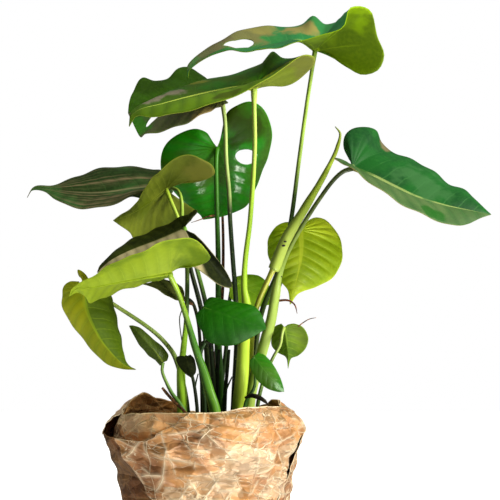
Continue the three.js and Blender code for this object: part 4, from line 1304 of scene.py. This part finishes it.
# %% Soil crumbs
CRUMBS = 320
CRUMB_SIZES = (0.0012, 0.0034)
CRUMB_WIDTHS, CRUMB_HEIGHTS = (0.55, 1), (0.4, 0.8)
CRUMB_SEED = 11
CRUMB_SPREAD = 0.074
CRUMB_RISE = 0.0004
MOST_TURN = 6
SOIL_RADIUS = 0.0755
SOIL_MIDDLE = 0.1465
SOIL_DIP = 0.005


def soil_height(x, y):
    away = math.hypot(x, y) / SOIL_RADIUS
    return SOIL_MIDDLE - SOIL_DIP * min(away, 1) ** 1.5 + soil_lump(x, y)


draws = random.Random(CRUMB_SEED)
crumbs = [soil]
for k in range(CRUMBS):
    angle = draws.uniform(0, 2 * math.pi)
    away = CRUMB_SPREAD * math.sqrt(draws.random())
    x, y = away * math.cos(angle), away * math.sin(angle)
    bpy.ops.object.select_all(action="DESELECT")
    bpy.ops.mesh.primitive_ico_sphere_add(subdivisions=1, radius=draws.uniform(*CRUMB_SIZES))
    crumb = bpy.context.active_object
    crumb.scale = (1, draws.uniform(*CRUMB_WIDTHS), draws.uniform(*CRUMB_HEIGHTS))
    crumb.rotation_euler = [draws.uniform(0, MOST_TURN) for _ in range(3)]
    crumb.location = (x, y, soil_height(x, y) + CRUMB_RISE)
    bpy.ops.object.transform_apply(location=True, rotation=True, scale=True)
    crumbs.append(crumb)
join(crumbs)
soil.data.materials.append(soil_paint)
finish_piece(soil, ["soil"])

# %% [markdown]
# The nursery pot inside the bag is thin black plastic with a folded lip and drain holes. One sheet from the
# middle of the floor up to the lip gets its wall from Solidify, so the inside and the outside agree.

# %% Nursery pot
POT_PROFILE = [(0, 2.7), (30, 2.7), (58, 2.7), (59.6, 4), (60.4, 8), (79, 142), (80.5, 143.6), (82.2, 144.4),
               (82.2, 150), (82.2, 155.6), (81, 156.1), (78.4, 156.1)]
POT_WALL = 0.0014
POT_RINGS, POT_AROUND = 110, 96
DRAIN_HOLES = 4
DRAIN_RING = 36
DRAIN_RADIUS = 4.5


def pot_shape(u, v):
    return turned(POT_PROFILE, u, v)


pot_length = sum(math.dist(a, b) for a, b in zip(POT_PROFILE, POT_PROFILE[1:]))
drains = [(DRAIN_RING / pot_length, (2 * k + 1) / 2 / DRAIN_HOLES,
           DRAIN_RADIUS / pot_length, DRAIN_RADIUS / DRAIN_RING / 2 / math.pi) for k in range(DRAIN_HOLES)]
pot = shaped_grid("pot", POT_RINGS, POT_AROUND, pot_shape, drains)
pot_paint = new_material("pot_plastic")
scuffs = noise_at(pot_paint, coordinates(pot_paint, "Object", (1.0, 1.0, 8.0)), 40.0, 4.0)
black = mixed(pot_paint, scaled(pot_paint, scuffs, 0.45, 0.75), paint(34, 34, 34), paint(66, 62, 56))
set_surface(pot_paint, "Base Color", black)
set_surface(pot_paint, "Roughness", scaled(pot_paint, scuffs, 0.3, 0.7, 0.38, 0.6))
set_bump(pot_paint, noise_at(pot_paint, coordinates(pot_paint, "Object"), 900.0, 2.0), 0.15, 0.0003)
pot.data.materials.append(pot_paint)
thicken(pot, POT_WALL, 0)
finish_piece(pot, ["nursery_pot"])

# %% [markdown]
# The paper bag is brown kraft paper in loose layers. An inner layer lines the pot and stands up as the rim.
# The outer wall stands off it at the left, where it ends in a free edge. From the rim a deep flap is folded
# down over the front, and a shorter one over the sides and the back. The tables give the form of the bag in
# degrees and mm: how high the rim stands in each direction, how wide the bag is at each height, and where
# the flaps and their hems end. Zero degrees is to the right, and the front is at -90. read_table reads a
# table between its rows.

# %% Paper bag form
RIM_HEIGHTS = [(-180, 177), (-160, 179), (-140, 184), (-120, 187), (-95, 188), (-75, 189), (-60, 192),
               (-42, 191), (-28, 189), (-14, 187), (-4, 184), (6, 176), (14, 177), (23, 187), (31, 186.5),
               (42, 179), (50, 175), (65, 168), (85, 163), (102, 168), (115, 180), (128, 185), (140, 193),
               (150, 190), (164, 181), (180, 177)]
BODY_RADII = [(0, 79), (6, 80.6), (20, 83), (50, 89), (80, 94.5), (110, 100.5), (134, 105), (146, 109),
              (158, 110.6), (171, 108), (182, 101), (188, 93)]
INNER_RADII = [(0, 76), (6, 77.6), (50, 85), (110, 95), (134, 98.5), (150, 99.5), (165, 98.5), (178, 95),
               (188, 91.5)]
FLAP_LEFT = [(40, -103), (81, -118), (160, -120), (166, -115), (180, -104), (188, -98)]
FLAP_RIGHT = [(40, -40), (81, -34), (104, -32), (114, -29), (135, -24), (154, -20), (161, -4), (188, 6)]
BACK_LEFT = [(60, -34), (106, -29), (118, -19), (135, -12), (156, -7), (188, -9)]
LEFT_WAIST = [(0, 0), (40, 3), (70, 5.5), (115, 5.5), (140, 1.5), (150, 0)]
WAIST_SPREAD = [(0, 1), (30, 0.9), (70, 0)]
WING_LEFT = [(80, -113), (90, -118), (104, -125), (122, -132), (140, -140), (158, -144)]
BACK_HEMS = [(-10, 60), (40, 64), (80, 112), (140, 126), (165, 150), (186, 158)]
RIM_TOP = 188
DROP_FROM = 150
WIDEST = 112.5


def read_table(table, at):
    for (low, low_value), (high, high_value) in zip(table, table[1:]):
        if at <= high:
            return low_value + (high_value - low_value) * ease((at - low) / (high - low))
    return table[-1][1]


print("rim of the bag in front:", read_table(RIM_HEIGHTS, -90), "mm high")

# %% [markdown]
# Crumpled paper is flat between sharp creases, so every layer is pushed in and out by the same folds:
# straight creases that run in a few directions, and dents whose borders are creases too. A cloth simulation
# would make soft folds instead, and it would let the layers part. Shared folds keep them from cutting each
# other. A row of FOLDS is [folds round the bag, mm of height to a fold, depth in mm], where a minus makes
# them lean the other way. A row of DENTS is [size in m, depth in mm, seed]. The front is crumpled most, as
# CALM_SIDES says.

# %% Crumpled paper
FOLDS = [(2, 31, 4.6), (-4, 24, 3.2), (14, 38, 4.4), (-18, 46, 3.4), (32, 160, 1.8), (8, 13, 1.5)]
FOLD_SHIFT = 0.37
FOLD_BEND, BEND_SCALE = 1.1, 12
SEED_STEP, SEED_AT = 2.3, 5
CREASE_MIDDLE = 0.65
FOLD_HERE, FOLD_COMES_AND_GOES, FOLD_MOST, PLACE_SCALE = 0.45, 1.9, 1.1, 17
DENTS = [(0.034, 3.4, 2.7), (0.014, 1.4, 7.9)]
DENT_FLAT, DENT_MIDDLE = 0.5, 0.4
CALM_SIDES = [(0, 1.2), (45, 1.1), (65, 0.6), (100, 0.4), (180, 0.4)]
FRONT_AT, LEFT_BACK = -75, -165
SLOW_WAVE, SLOW_TURNS, SLOW_RISE = 0.8, 5, 0.045
FOOT_CALM = 40
ROUGH_RADIUS = 0.1


def crease_wave(along):
    return abs(2 * (along % 1) - 1) - CREASE_MIDDLE


def bag_spot(angle, z):
    return Vector((math.cos(angle) * ROUGH_RADIUS, math.sin(angle) * ROUGH_RADIUS, z / MM_IN_M))


def fold_phase(k, angle, z):
    turns, rise, _ = FOLDS[k]
    bend = FOLD_BEND * noise.noise(bag_spot(angle, z) * BEND_SCALE + Vector((k, 0, 0)))
    return turns * angle / (2 * math.pi) + z / rise + bend + k * FOLD_SHIFT


def fold_strength(k, spot):
    seed = Vector((0, k * SEED_STEP, SEED_AT))
    here = FOLD_HERE + FOLD_COMES_AND_GOES * noise.noise(spot * PLACE_SCALE + seed)
    return min(max(0, here), FOLD_MOST)


def crumple(angle, z):
    spot = bag_spot(angle, z)
    push = 0.0
    for k, (_, _, depth) in enumerate(FOLDS):
        push += depth * fold_strength(k, spot) * crease_wave(fold_phase(k, angle, z))
    for size, depth, seed in DENTS:
        near = noise.voronoi(spot / size + Vector((seed, seed, seed)))[0]
        push += depth * (min(near[1] - near[0], DENT_FLAT) - DENT_MIDDLE)
    degrees = math.degrees(angle)
    calm = read_table(CALM_SIDES, abs(degrees - FRONT_AT) if degrees > LEFT_BACK else 180)
    slow = SLOW_WAVE * math.sin(SLOW_TURNS * angle + SLOW_RISE * z)
    return (push * calm + slow) * min(z / FOOT_CALM, 1)


def bag_point(angle, z, radius):
    degrees = math.degrees(angle)
    drop = max(z - DROP_FROM, 0) / (RIM_TOP - DROP_FROM) * (RIM_TOP - read_table(RIM_HEIGHTS, degrees))
    height = z - drop
    waist = read_table(LEFT_WAIST, z) * read_table(WAIST_SPREAD, abs(abs(degrees) - 180))
    reach = min(radius - waist + crumple(angle, height), WIDEST) / MM_IN_M
    return Vector((math.cos(angle) * reach, math.sin(angle) * reach, height / MM_IN_M))


print("crumple in front, half way up:", round(crumple(math.radians(-90), 90), 1), "mm")

# %% [markdown]
# Two layers go all round: u goes up the bag and v round it. The lining starts in the middle of the floor. The
# outer wall has upright wrinkles and stands away from the lining at the left, and it is tucked in behind the
# slit between the front flap and the back flap.

# %% Lining and outer wall
PAPER_THICK = 0.0006
FLOOR_HEIGHT = 0.9
FLOOR_SHARE = 0.22
FREE_EDGE = 159.5
WALL_FOOT = 1.2
SLIT_AT, SLIT_WIDTH, SLIT_DEPTH = -17, 11, 9
SLIT_HEIGHTS = [(100, 0), (116, 1), (152, 1), (160, 0.4)]
TUCKED = [(14, 0.2), (44, 1.2), (120, 1.6)]
WALL_STANDS_OFF_AT = -158
WRINKLE_DEGREES, WRINKLE_BEND, WRINKLE_DEPTH = 3.1, 1.2, 1.9
BEND_DEGREES, BEND_HEIGHT = 25, 60
PLACE_DEGREES, PLACE_HEIGHT = 14, 38
WRINKLE_SEED = 4
WRINKLE_HERE = 0.35


def round_angle(v):
    return math.pi * (2 * v - 1)


def inner_layer(u, v):
    angle = round_angle(v)
    if u < FLOOR_SHARE:
        away = u / FLOOR_SHARE * INNER_RADII[0][1] / MM_IN_M
        return Vector((math.cos(angle) * away, math.sin(angle) * away, FLOOR_HEIGHT / MM_IN_M))
    z = FLOOR_HEIGHT + (RIM_TOP - FLOOR_HEIGHT) * (u - FLOOR_SHARE) / (1 - FLOOR_SHARE)
    return bag_point(angle, z, read_table(INNER_RADII, z))


def from_left(degrees):
    return min(abs(degrees - WALL_STANDS_OFF_AT), abs(degrees - WALL_STANDS_OFF_AT - 360))


def upright_wrinkle(degrees, z):
    bend = WRINKLE_BEND * noise.noise(Vector((degrees / BEND_DEGREES, z / BEND_HEIGHT, 0)))
    spot = Vector((degrees / PLACE_DEGREES, z / PLACE_HEIGHT, WRINKLE_SEED))
    here = max(0, noise.noise(spot) + WRINKLE_HERE)
    return WRINKLE_DEPTH * here * crease_wave(degrees / WRINKLE_DEGREES + bend)


def outer_wall(u, v):
    angle = round_angle(v)
    degrees = math.degrees(angle)
    z = WALL_FOOT + (FREE_EDGE - WALL_FOOT) * u
    slit = math.exp(-(((degrees - SLIT_AT) / SLIT_WIDTH) ** 2)) * read_table(SLIT_HEIGHTS, z)
    tucked = read_table(TUCKED, from_left(degrees)) + SLIT_DEPTH * slit
    return bag_point(angle, z, read_table(BODY_RADII, z) - tucked + upright_wrinkle(degrees, z))


print("outer wall at the left:", outer_wall(0.5, 0))

# %% [markdown]
# The flaps hang from the rim: u goes down and v across. Their edges lift a little, so that they throw a thin
# shadow, and the tail of the front flap is wavy.

# %% Flaps
EDGE_LIFT, EDGE_WIDTH = 1.8, 0.035
OVER_THE_RIM = 0.2
FLAP_HEM = 44
FLAP_LIFT = 0.9
TAIL_FROM, TAIL_WAVE, TAIL_WAVE_DEGREES = 0.9, 5, 9
WING_HEM = 80
WING_RIGHT = -106
WING_LIFT, WING_EDGE_LIFT, WING_EDGE_WIDTH = 0.5, 1.6, 0.06
BACK_START, BACK_SPAN = -9, 195
HEM_WAVE, HEM_WAVE_DEGREES = 2, 8
BACK_LIFT, BACK_EDGE_SHARE = 0.2, 0.5


def edge_lift(v):
    return EDGE_LIFT * math.exp(-((min(v, 1 - v) / EDGE_WIDTH) ** 2))


def front_flap(u, v):
    z = RIM_TOP - (RIM_TOP - FLAP_HEM) * u
    left, right = read_table(FLAP_LEFT, z), read_table(FLAP_RIGHT, z)
    degrees = left + (right - left) * v
    tail = max(u - TAIL_FROM, 0) / (1 - TAIL_FROM)
    z -= tail * TAIL_WAVE * math.sin(degrees / TAIL_WAVE_DEGREES)
    lift = min(u / OVER_THE_RIM, 1) * (FLAP_LIFT + edge_lift(v))
    return bag_point(math.radians(degrees), z, read_table(BODY_RADII, z) + lift)


def side_wing(u, v):
    z = FREE_EDGE - (FREE_EDGE - WING_HEM) * u
    degrees = read_table(WING_LEFT, z) * (1 - v) + WING_RIGHT * v
    lift = WING_LIFT + WING_EDGE_LIFT * math.exp(-((v / WING_EDGE_WIDTH) ** 2))
    return bag_point(math.radians(degrees), z, read_table(BODY_RADII, z) + lift)


def back_flap(u, v):
    end = BACK_START + BACK_SPAN
    degrees = BACK_START + BACK_SPAN * v
    hem = read_table(BACK_HEMS, degrees) + HEM_WAVE * math.sin(degrees / HEM_WAVE_DEGREES)
    z = RIM_TOP - (RIM_TOP - hem) * u
    start = read_table(BACK_LEFT, z)
    degrees = start + (end - start) * v
    lift = min(u / OVER_THE_RIM, 1) * (BACK_LIFT + edge_lift(v) * BACK_EDGE_SHARE)
    angle = math.radians(degrees if degrees <= 180 else degrees - 360)
    return bag_point(angle, z, read_table(BODY_RADII, z) + lift)


print("hem of the front flap:", front_flap(1, 0.5))

# %% [markdown]
# Each layer is one grid. The phases of the folds are stored on its points as attributes, so that the paper
# finish can draw worn lines exactly where the creases are.

# %% Paper bag layers
LAYERS = {
    "lining": (inner_layer, 76, 144),
    "wall": (outer_wall, 84, 190),
    "front": (front_flap, 120, 112),
    "wing": (side_wing, 50, 30),
    "back": (back_flap, 60, 120),
}
FOLD_MARKS = {"folds_wide": (0, 1, 2), "folds_steep": (3, 4, 5)}


def turn_over(obj):
    edit_all(obj)
    bpy.ops.mesh.flip_normals()
    stop_editing()


def mark_folds(obj):
    for name, families in FOLD_MARKS.items():
        marks = obj.data.attributes.new(name, "FLOAT_VECTOR", "POINT")
        for vertex, mark in zip(obj.data.vertices, marks.data):
            angle, z = math.atan2(vertex.co.y, vertex.co.x), vertex.co.z * MM_IN_M
            mark.vector = [math.sin(math.pi * fold_phase(k, angle, z)) for k in families]


layers = {}
for name, (shape, columns, rows) in LAYERS.items():
    layers[name] = shaped_grid(f"paper_{name}", columns, rows, shape)
    mark_folds(layers[name])
    print("paper layer", name, len(layers[name].data.vertices), "points")

# %% [markdown]
# Where kraft paper was creased, the fibres break and show pale lines with a faint halo beside them. The lines
# are drawn where a stored mark changes sign, which is along the ridge of a fold, and fine ones on the borders
# of cells. Noise lets them come and go, as no crease is worn all along.

# %% Creases of the paper
FOLD_LINES = [("folds_wide", 0, 0.09), ("folds_wide", 1, 0.1), ("folds_wide", 2, 0.1),
              ("folds_steep", 0, 0.1), ("folds_steep", 1, 0.08), ("folds_steep", 2, 0.14)]
HALO = 0.4
HALO_SHARE = 0.4
CELLS = [(26.0, 0.02), (80.0, 0.045)]
CELL_LINE_SHARE = 0.85
CELL_WARP = (0.01, 0.01, 0.01)
CELL_TILT, CELL_STRETCH = (0.25, 0.1, 0.0), (0.75, 0.75, 1.7)


def fold_lines(material):
    lines = 0.0
    for k, (source, axis, width) in enumerate(FOLD_LINES):
        marks = add_node(material, "ShaderNodeAttribute", attribute_name=source).outputs["Vector"]
        off_ridge = maths(material, "ABSOLUTE", axes(material, marks)[axis])
        halo = scaled(material, off_ridge, 0.0, HALO, HALO_SHARE, 0.0)
        line = larger(material, scaled(material, off_ridge, 0.0, width, 1.0, 0.0), halo)
        shift = coordinates(material, "Object", (1.0 + 0.1 * k, 1.0, 1.0 - 0.1 * k))
        shown = scaled(material, noise_at(material, shift, 34.0 + 5 * k), 0.45, 0.6)
        lines = larger(material, times(material, line, shown), lines)
    return lines


def warped_cells(material, where):
    inputs = {"Vector": where, "Scale": 40.0, "Detail": 3.0}
    drift = add_node(material, "ShaderNodeTexNoise", inputs).outputs["Color"]
    shift = vector_maths(material, "MULTIPLY", drift, CELL_WARP)[0]
    warped = vector_maths(material, "ADD", where, shift)[0]
    return add_node(material, "ShaderNodeMapping", {0: warped, 2: CELL_TILT, 3: CELL_STRETCH}).outputs[0]


def cell_lines(material, where, flatter, lines):
    facets = []
    for scale, width in CELLS:
        cells = add_node(material, "ShaderNodeTexVoronoi", {"Vector": flatter, "Scale": scale},
                         feature="DISTANCE_TO_EDGE").outputs["Distance"]
        facets.append(cells)
        shown = scaled(material, noise_at(material, where, scale * 0.6), 0.47, 0.6, 0.0, CELL_LINE_SHARE)
        line = scaled(material, cells, 0.0, width, 1.0, 0.0)
        lines = larger(material, times(material, line, shown), lines)
    return lines, facets


# %% [markdown]
# Kraft paper is warm brown and nearly matt. Its tone drifts in wide patches, and each small face between
# creases is made paler or darker than the next at random, which is painted light and painted shade for the
# facets. The cut edges are pale, and they are found with the UV map. The same cells give the bump, with fine
# fibres on top.

# %% Kraft paper
PALER_FACES, DARKER_FACES = 0.34, 0.42
FACE_SCALE = 24.0
FACE_SHADOW = 0.62
FIBRE_SCALE, FIBRE_SHARE = 1500.0, 0.12
CUT_ENDS, CUT_SIDES = (0.493, 0.497), (0.496, 0.4985)
KRAFT_ROUGHNESS = (0.42, 0.6)
WIDE_BUMP, FINE_BUMP, LINE_BUMP, FIBRE_BUMP = 1.2, 0.2, 0.1, 0.02
PAPER_BUMP, PAPER_BUMP_DEPTH = 1.0, 0.019


def paper_color(material, flatter, tone, fibre, light, deep, pale):
    cells = add_node(material, "ShaderNodeTexVoronoi", {"Vector": flatter, "Scale": FACE_SCALE})
    facet_light_and_shade = axes(material, cells.outputs["Color"])
    color = mixed(material, tone, paint(*light), paint(*deep))
    color = mixed(material, times(material, fibre, FIBRE_SHARE), color, pale)
    # painted light and painted shade: random faces of the crumple are paled or darkened
    color = mixed(material, scaled(material, facet_light_and_shade[0], 0.45, 1.0, 0.0, PALER_FACES), color, pale)
    darker = scaled(material, facet_light_and_shade[1], 0.4, 1.0, 0.0, DARKER_FACES)
    return mixed(material, darker, color, shaded(deep, FACE_SHADOW))


def cut_edges(material, side_edges):
    uv = axes(material, coordinates(material, "UV"))
    sides = scaled(material, from_middle(material, uv[1]), *CUT_SIDES, 0.0, side_edges)
    return larger(material, sides, scaled(material, from_middle(material, uv[0]), *CUT_ENDS))


def kraft_material(name, light, deep, crease, crease_share, side_edges=1.0):
    material = new_material(name, Specular_IOR_Level=0.3)
    where = coordinates(material, "Object")
    flatter = warped_cells(material, where)
    lines, facets = cell_lines(material, where, flatter, fold_lines(material))
    tone = scaled(material, noise_at(material, where, 20.0), 0.34, 0.66)
    fibre = noise_at(material, where, FIBRE_SCALE)
    pale = paint(*crease)
    color = paper_color(material, flatter, tone, fibre, light, deep, pale)
    worn = times(material, larger(material, lines, cut_edges(material, side_edges)), crease_share)
    set_surface(material, "Base Color", mixed(material, worn, color, pale))
    set_surface(material, "Roughness", scaled(material, tone, 0.0, 1.0, *KRAFT_ROUGHNESS))
    height = maths(material, "MULTIPLY_ADD", facets[0], WIDE_BUMP, times(material, facets[1], FINE_BUMP))
    height = maths(material, "MULTIPLY_ADD", fibre, FIBRE_BUMP, height)
    height = maths(material, "MULTIPLY_ADD", lines, LINE_BUMP, height)
    set_bump(material, height, PAPER_BUMP, PAPER_BUMP_DEPTH)
    return material


# painted shade: the wall paper is dark brown for the left side that lies out of the light, and the deep tone
# of the lining is darkened for the pocket in shade
PAPERS = {
    "flap": kraft_material("kraft_paper", (196, 136, 74), (138, 82, 34), (255, 234, 196), 0.95),
    "lining": kraft_material("kraft_lining_shaded", (202, 130, 64), (112, 68, 28), (252, 222, 172), 0.9, 0.0),
    "wall": kraft_material("kraft_wall_shaded", (122, 72, 32), (68, 40, 16), (200, 150, 96), 0.5, 0.0),
    "inside": kraft_material("kraft_inside", (226, 152, 72), (170, 104, 44), (240, 196, 130), 0.5, 0.0),
}
print("papers:", list(PAPERS))

# %% [markdown]
# Each layer gets its paper outside and a warmer paper inside, because light comes through the thin rim and
# its inside glows orange-brown. The lining and the wall go round the other way, so they are turned over
# first. The flaps and the wing share one paper. Then all the layers are joined into the one bag that they
# are in reality.

# %% Paper bag
for name, layer in layers.items():
    layer.data.materials.append(PAPERS.get(name, PAPERS["flap"]))
    layer.data.materials.append(PAPERS["inside"])
    if name in ("lining", "wall"):
        turn_over(layer)
    thicken(layer, PAPER_THICK, -1, material_offset=1)
bag = join(list(layers.values()))
bag.name = "paper_bag_sheets"
finish_piece(bag, ["paper_bag"])

# %% [markdown]
# The plant stands in a plain white studio: a pale floor and even light from all round. A large soft lamp high
# on the right in front lights it and shines in the leaves. A weaker one on the left and one above only light
# it, and a small lamp low in front only shines, so that the waxy leaf has its small highlights. A lamp is
# its place, its power in watts, its size in m and what it does. The floor is stage and no part of the plant.

# %% Studio
FLOOR_SIZE = 2.8
FLOOR_DROP = 0.0005
FLOOR_GLOW = 0.55
ROOM_LIGHT = 0.17
WALL_WHITE = 1.0
LAMPS = {
    "key": ((1.6, -0.7, 1.2), 60, 0.6, "both"),
    "fill": ((-1.0, -1.8, 0.7), 7, 0.8, "colour"),
    "top": ((-0.5, 0.2, 2.2), 20, 1.2, "colour"),
    "sparkle": ((0.155, -0.19, 0.04), 2.8, 0.2, "shine"),
}
LAMP_COLOR = (1.0, 0.985, 0.9)
AIM = Vector((0.02, 0, 0.36))

bpy.ops.object.select_all(action="DESELECT")
bpy.ops.mesh.primitive_plane_add(size=FLOOR_SIZE, location=(0, 0, -FLOOR_DROP))
floor = bpy.context.active_object
floor.name = "floor"
floor_paint = new_material("floor_white", Roughness=0.9, Specular_IOR_Level=0.1)
grain = noise_at(floor_paint, coordinates(floor_paint, "Object"), 30.0)
set_surface(floor_paint, "Base Color", mixed(floor_paint, grain, (0.93, 0.93, 0.93, 1), (0.9, 0.9, 0.9, 1)))
set_surface(floor_paint, "Emission Color", (1, 1, 1, 1))
set_surface(floor_paint, "Emission Strength", FLOOR_GLOW)
floor.data.materials.append(floor_paint)
floor.visible_glossy = False

world = bpy.data.worlds.new("studio")
world.use_nodes = True
backdrop = world.node_tree.nodes["Background"]
backdrop.inputs["Color"].default_value = (1, 1, 1, 1)
light_path = world.node_tree.nodes.new("ShaderNodeLightPath")
strength = world.node_tree.nodes.new("ShaderNodeMapRange")
strength.inputs["To Min"].default_value = ROOM_LIGHT
strength.inputs["To Max"].default_value = WALL_WHITE
world.node_tree.links.new(light_path.outputs["Is Camera Ray"], strength.inputs["Value"])
world.node_tree.links.new(strength.outputs[0], backdrop.inputs["Strength"])
bpy.context.scene.world = world

for name, (spot, power, size, lights) in LAMPS.items():
    lamp_data = bpy.data.lights.new(name, "AREA")
    lamp_data.energy = power
    lamp_data.size = size
    lamp_data.color = LAMP_COLOR
    lamp = bpy.data.objects.new(name, lamp_data)
    lamp.location = spot
    lamp.visible_glossy = lights != "colour"
    lamp.visible_diffuse = lights != "shine"
    lamp.rotation_euler = (AIM - Vector(spot)).to_track_quat("-Z", "Y").to_euler()
    bpy.context.collection.objects.link(lamp)
bpy.context.scene.view_settings.view_transform = "Standard"
print("lamps:", list(LAMPS))
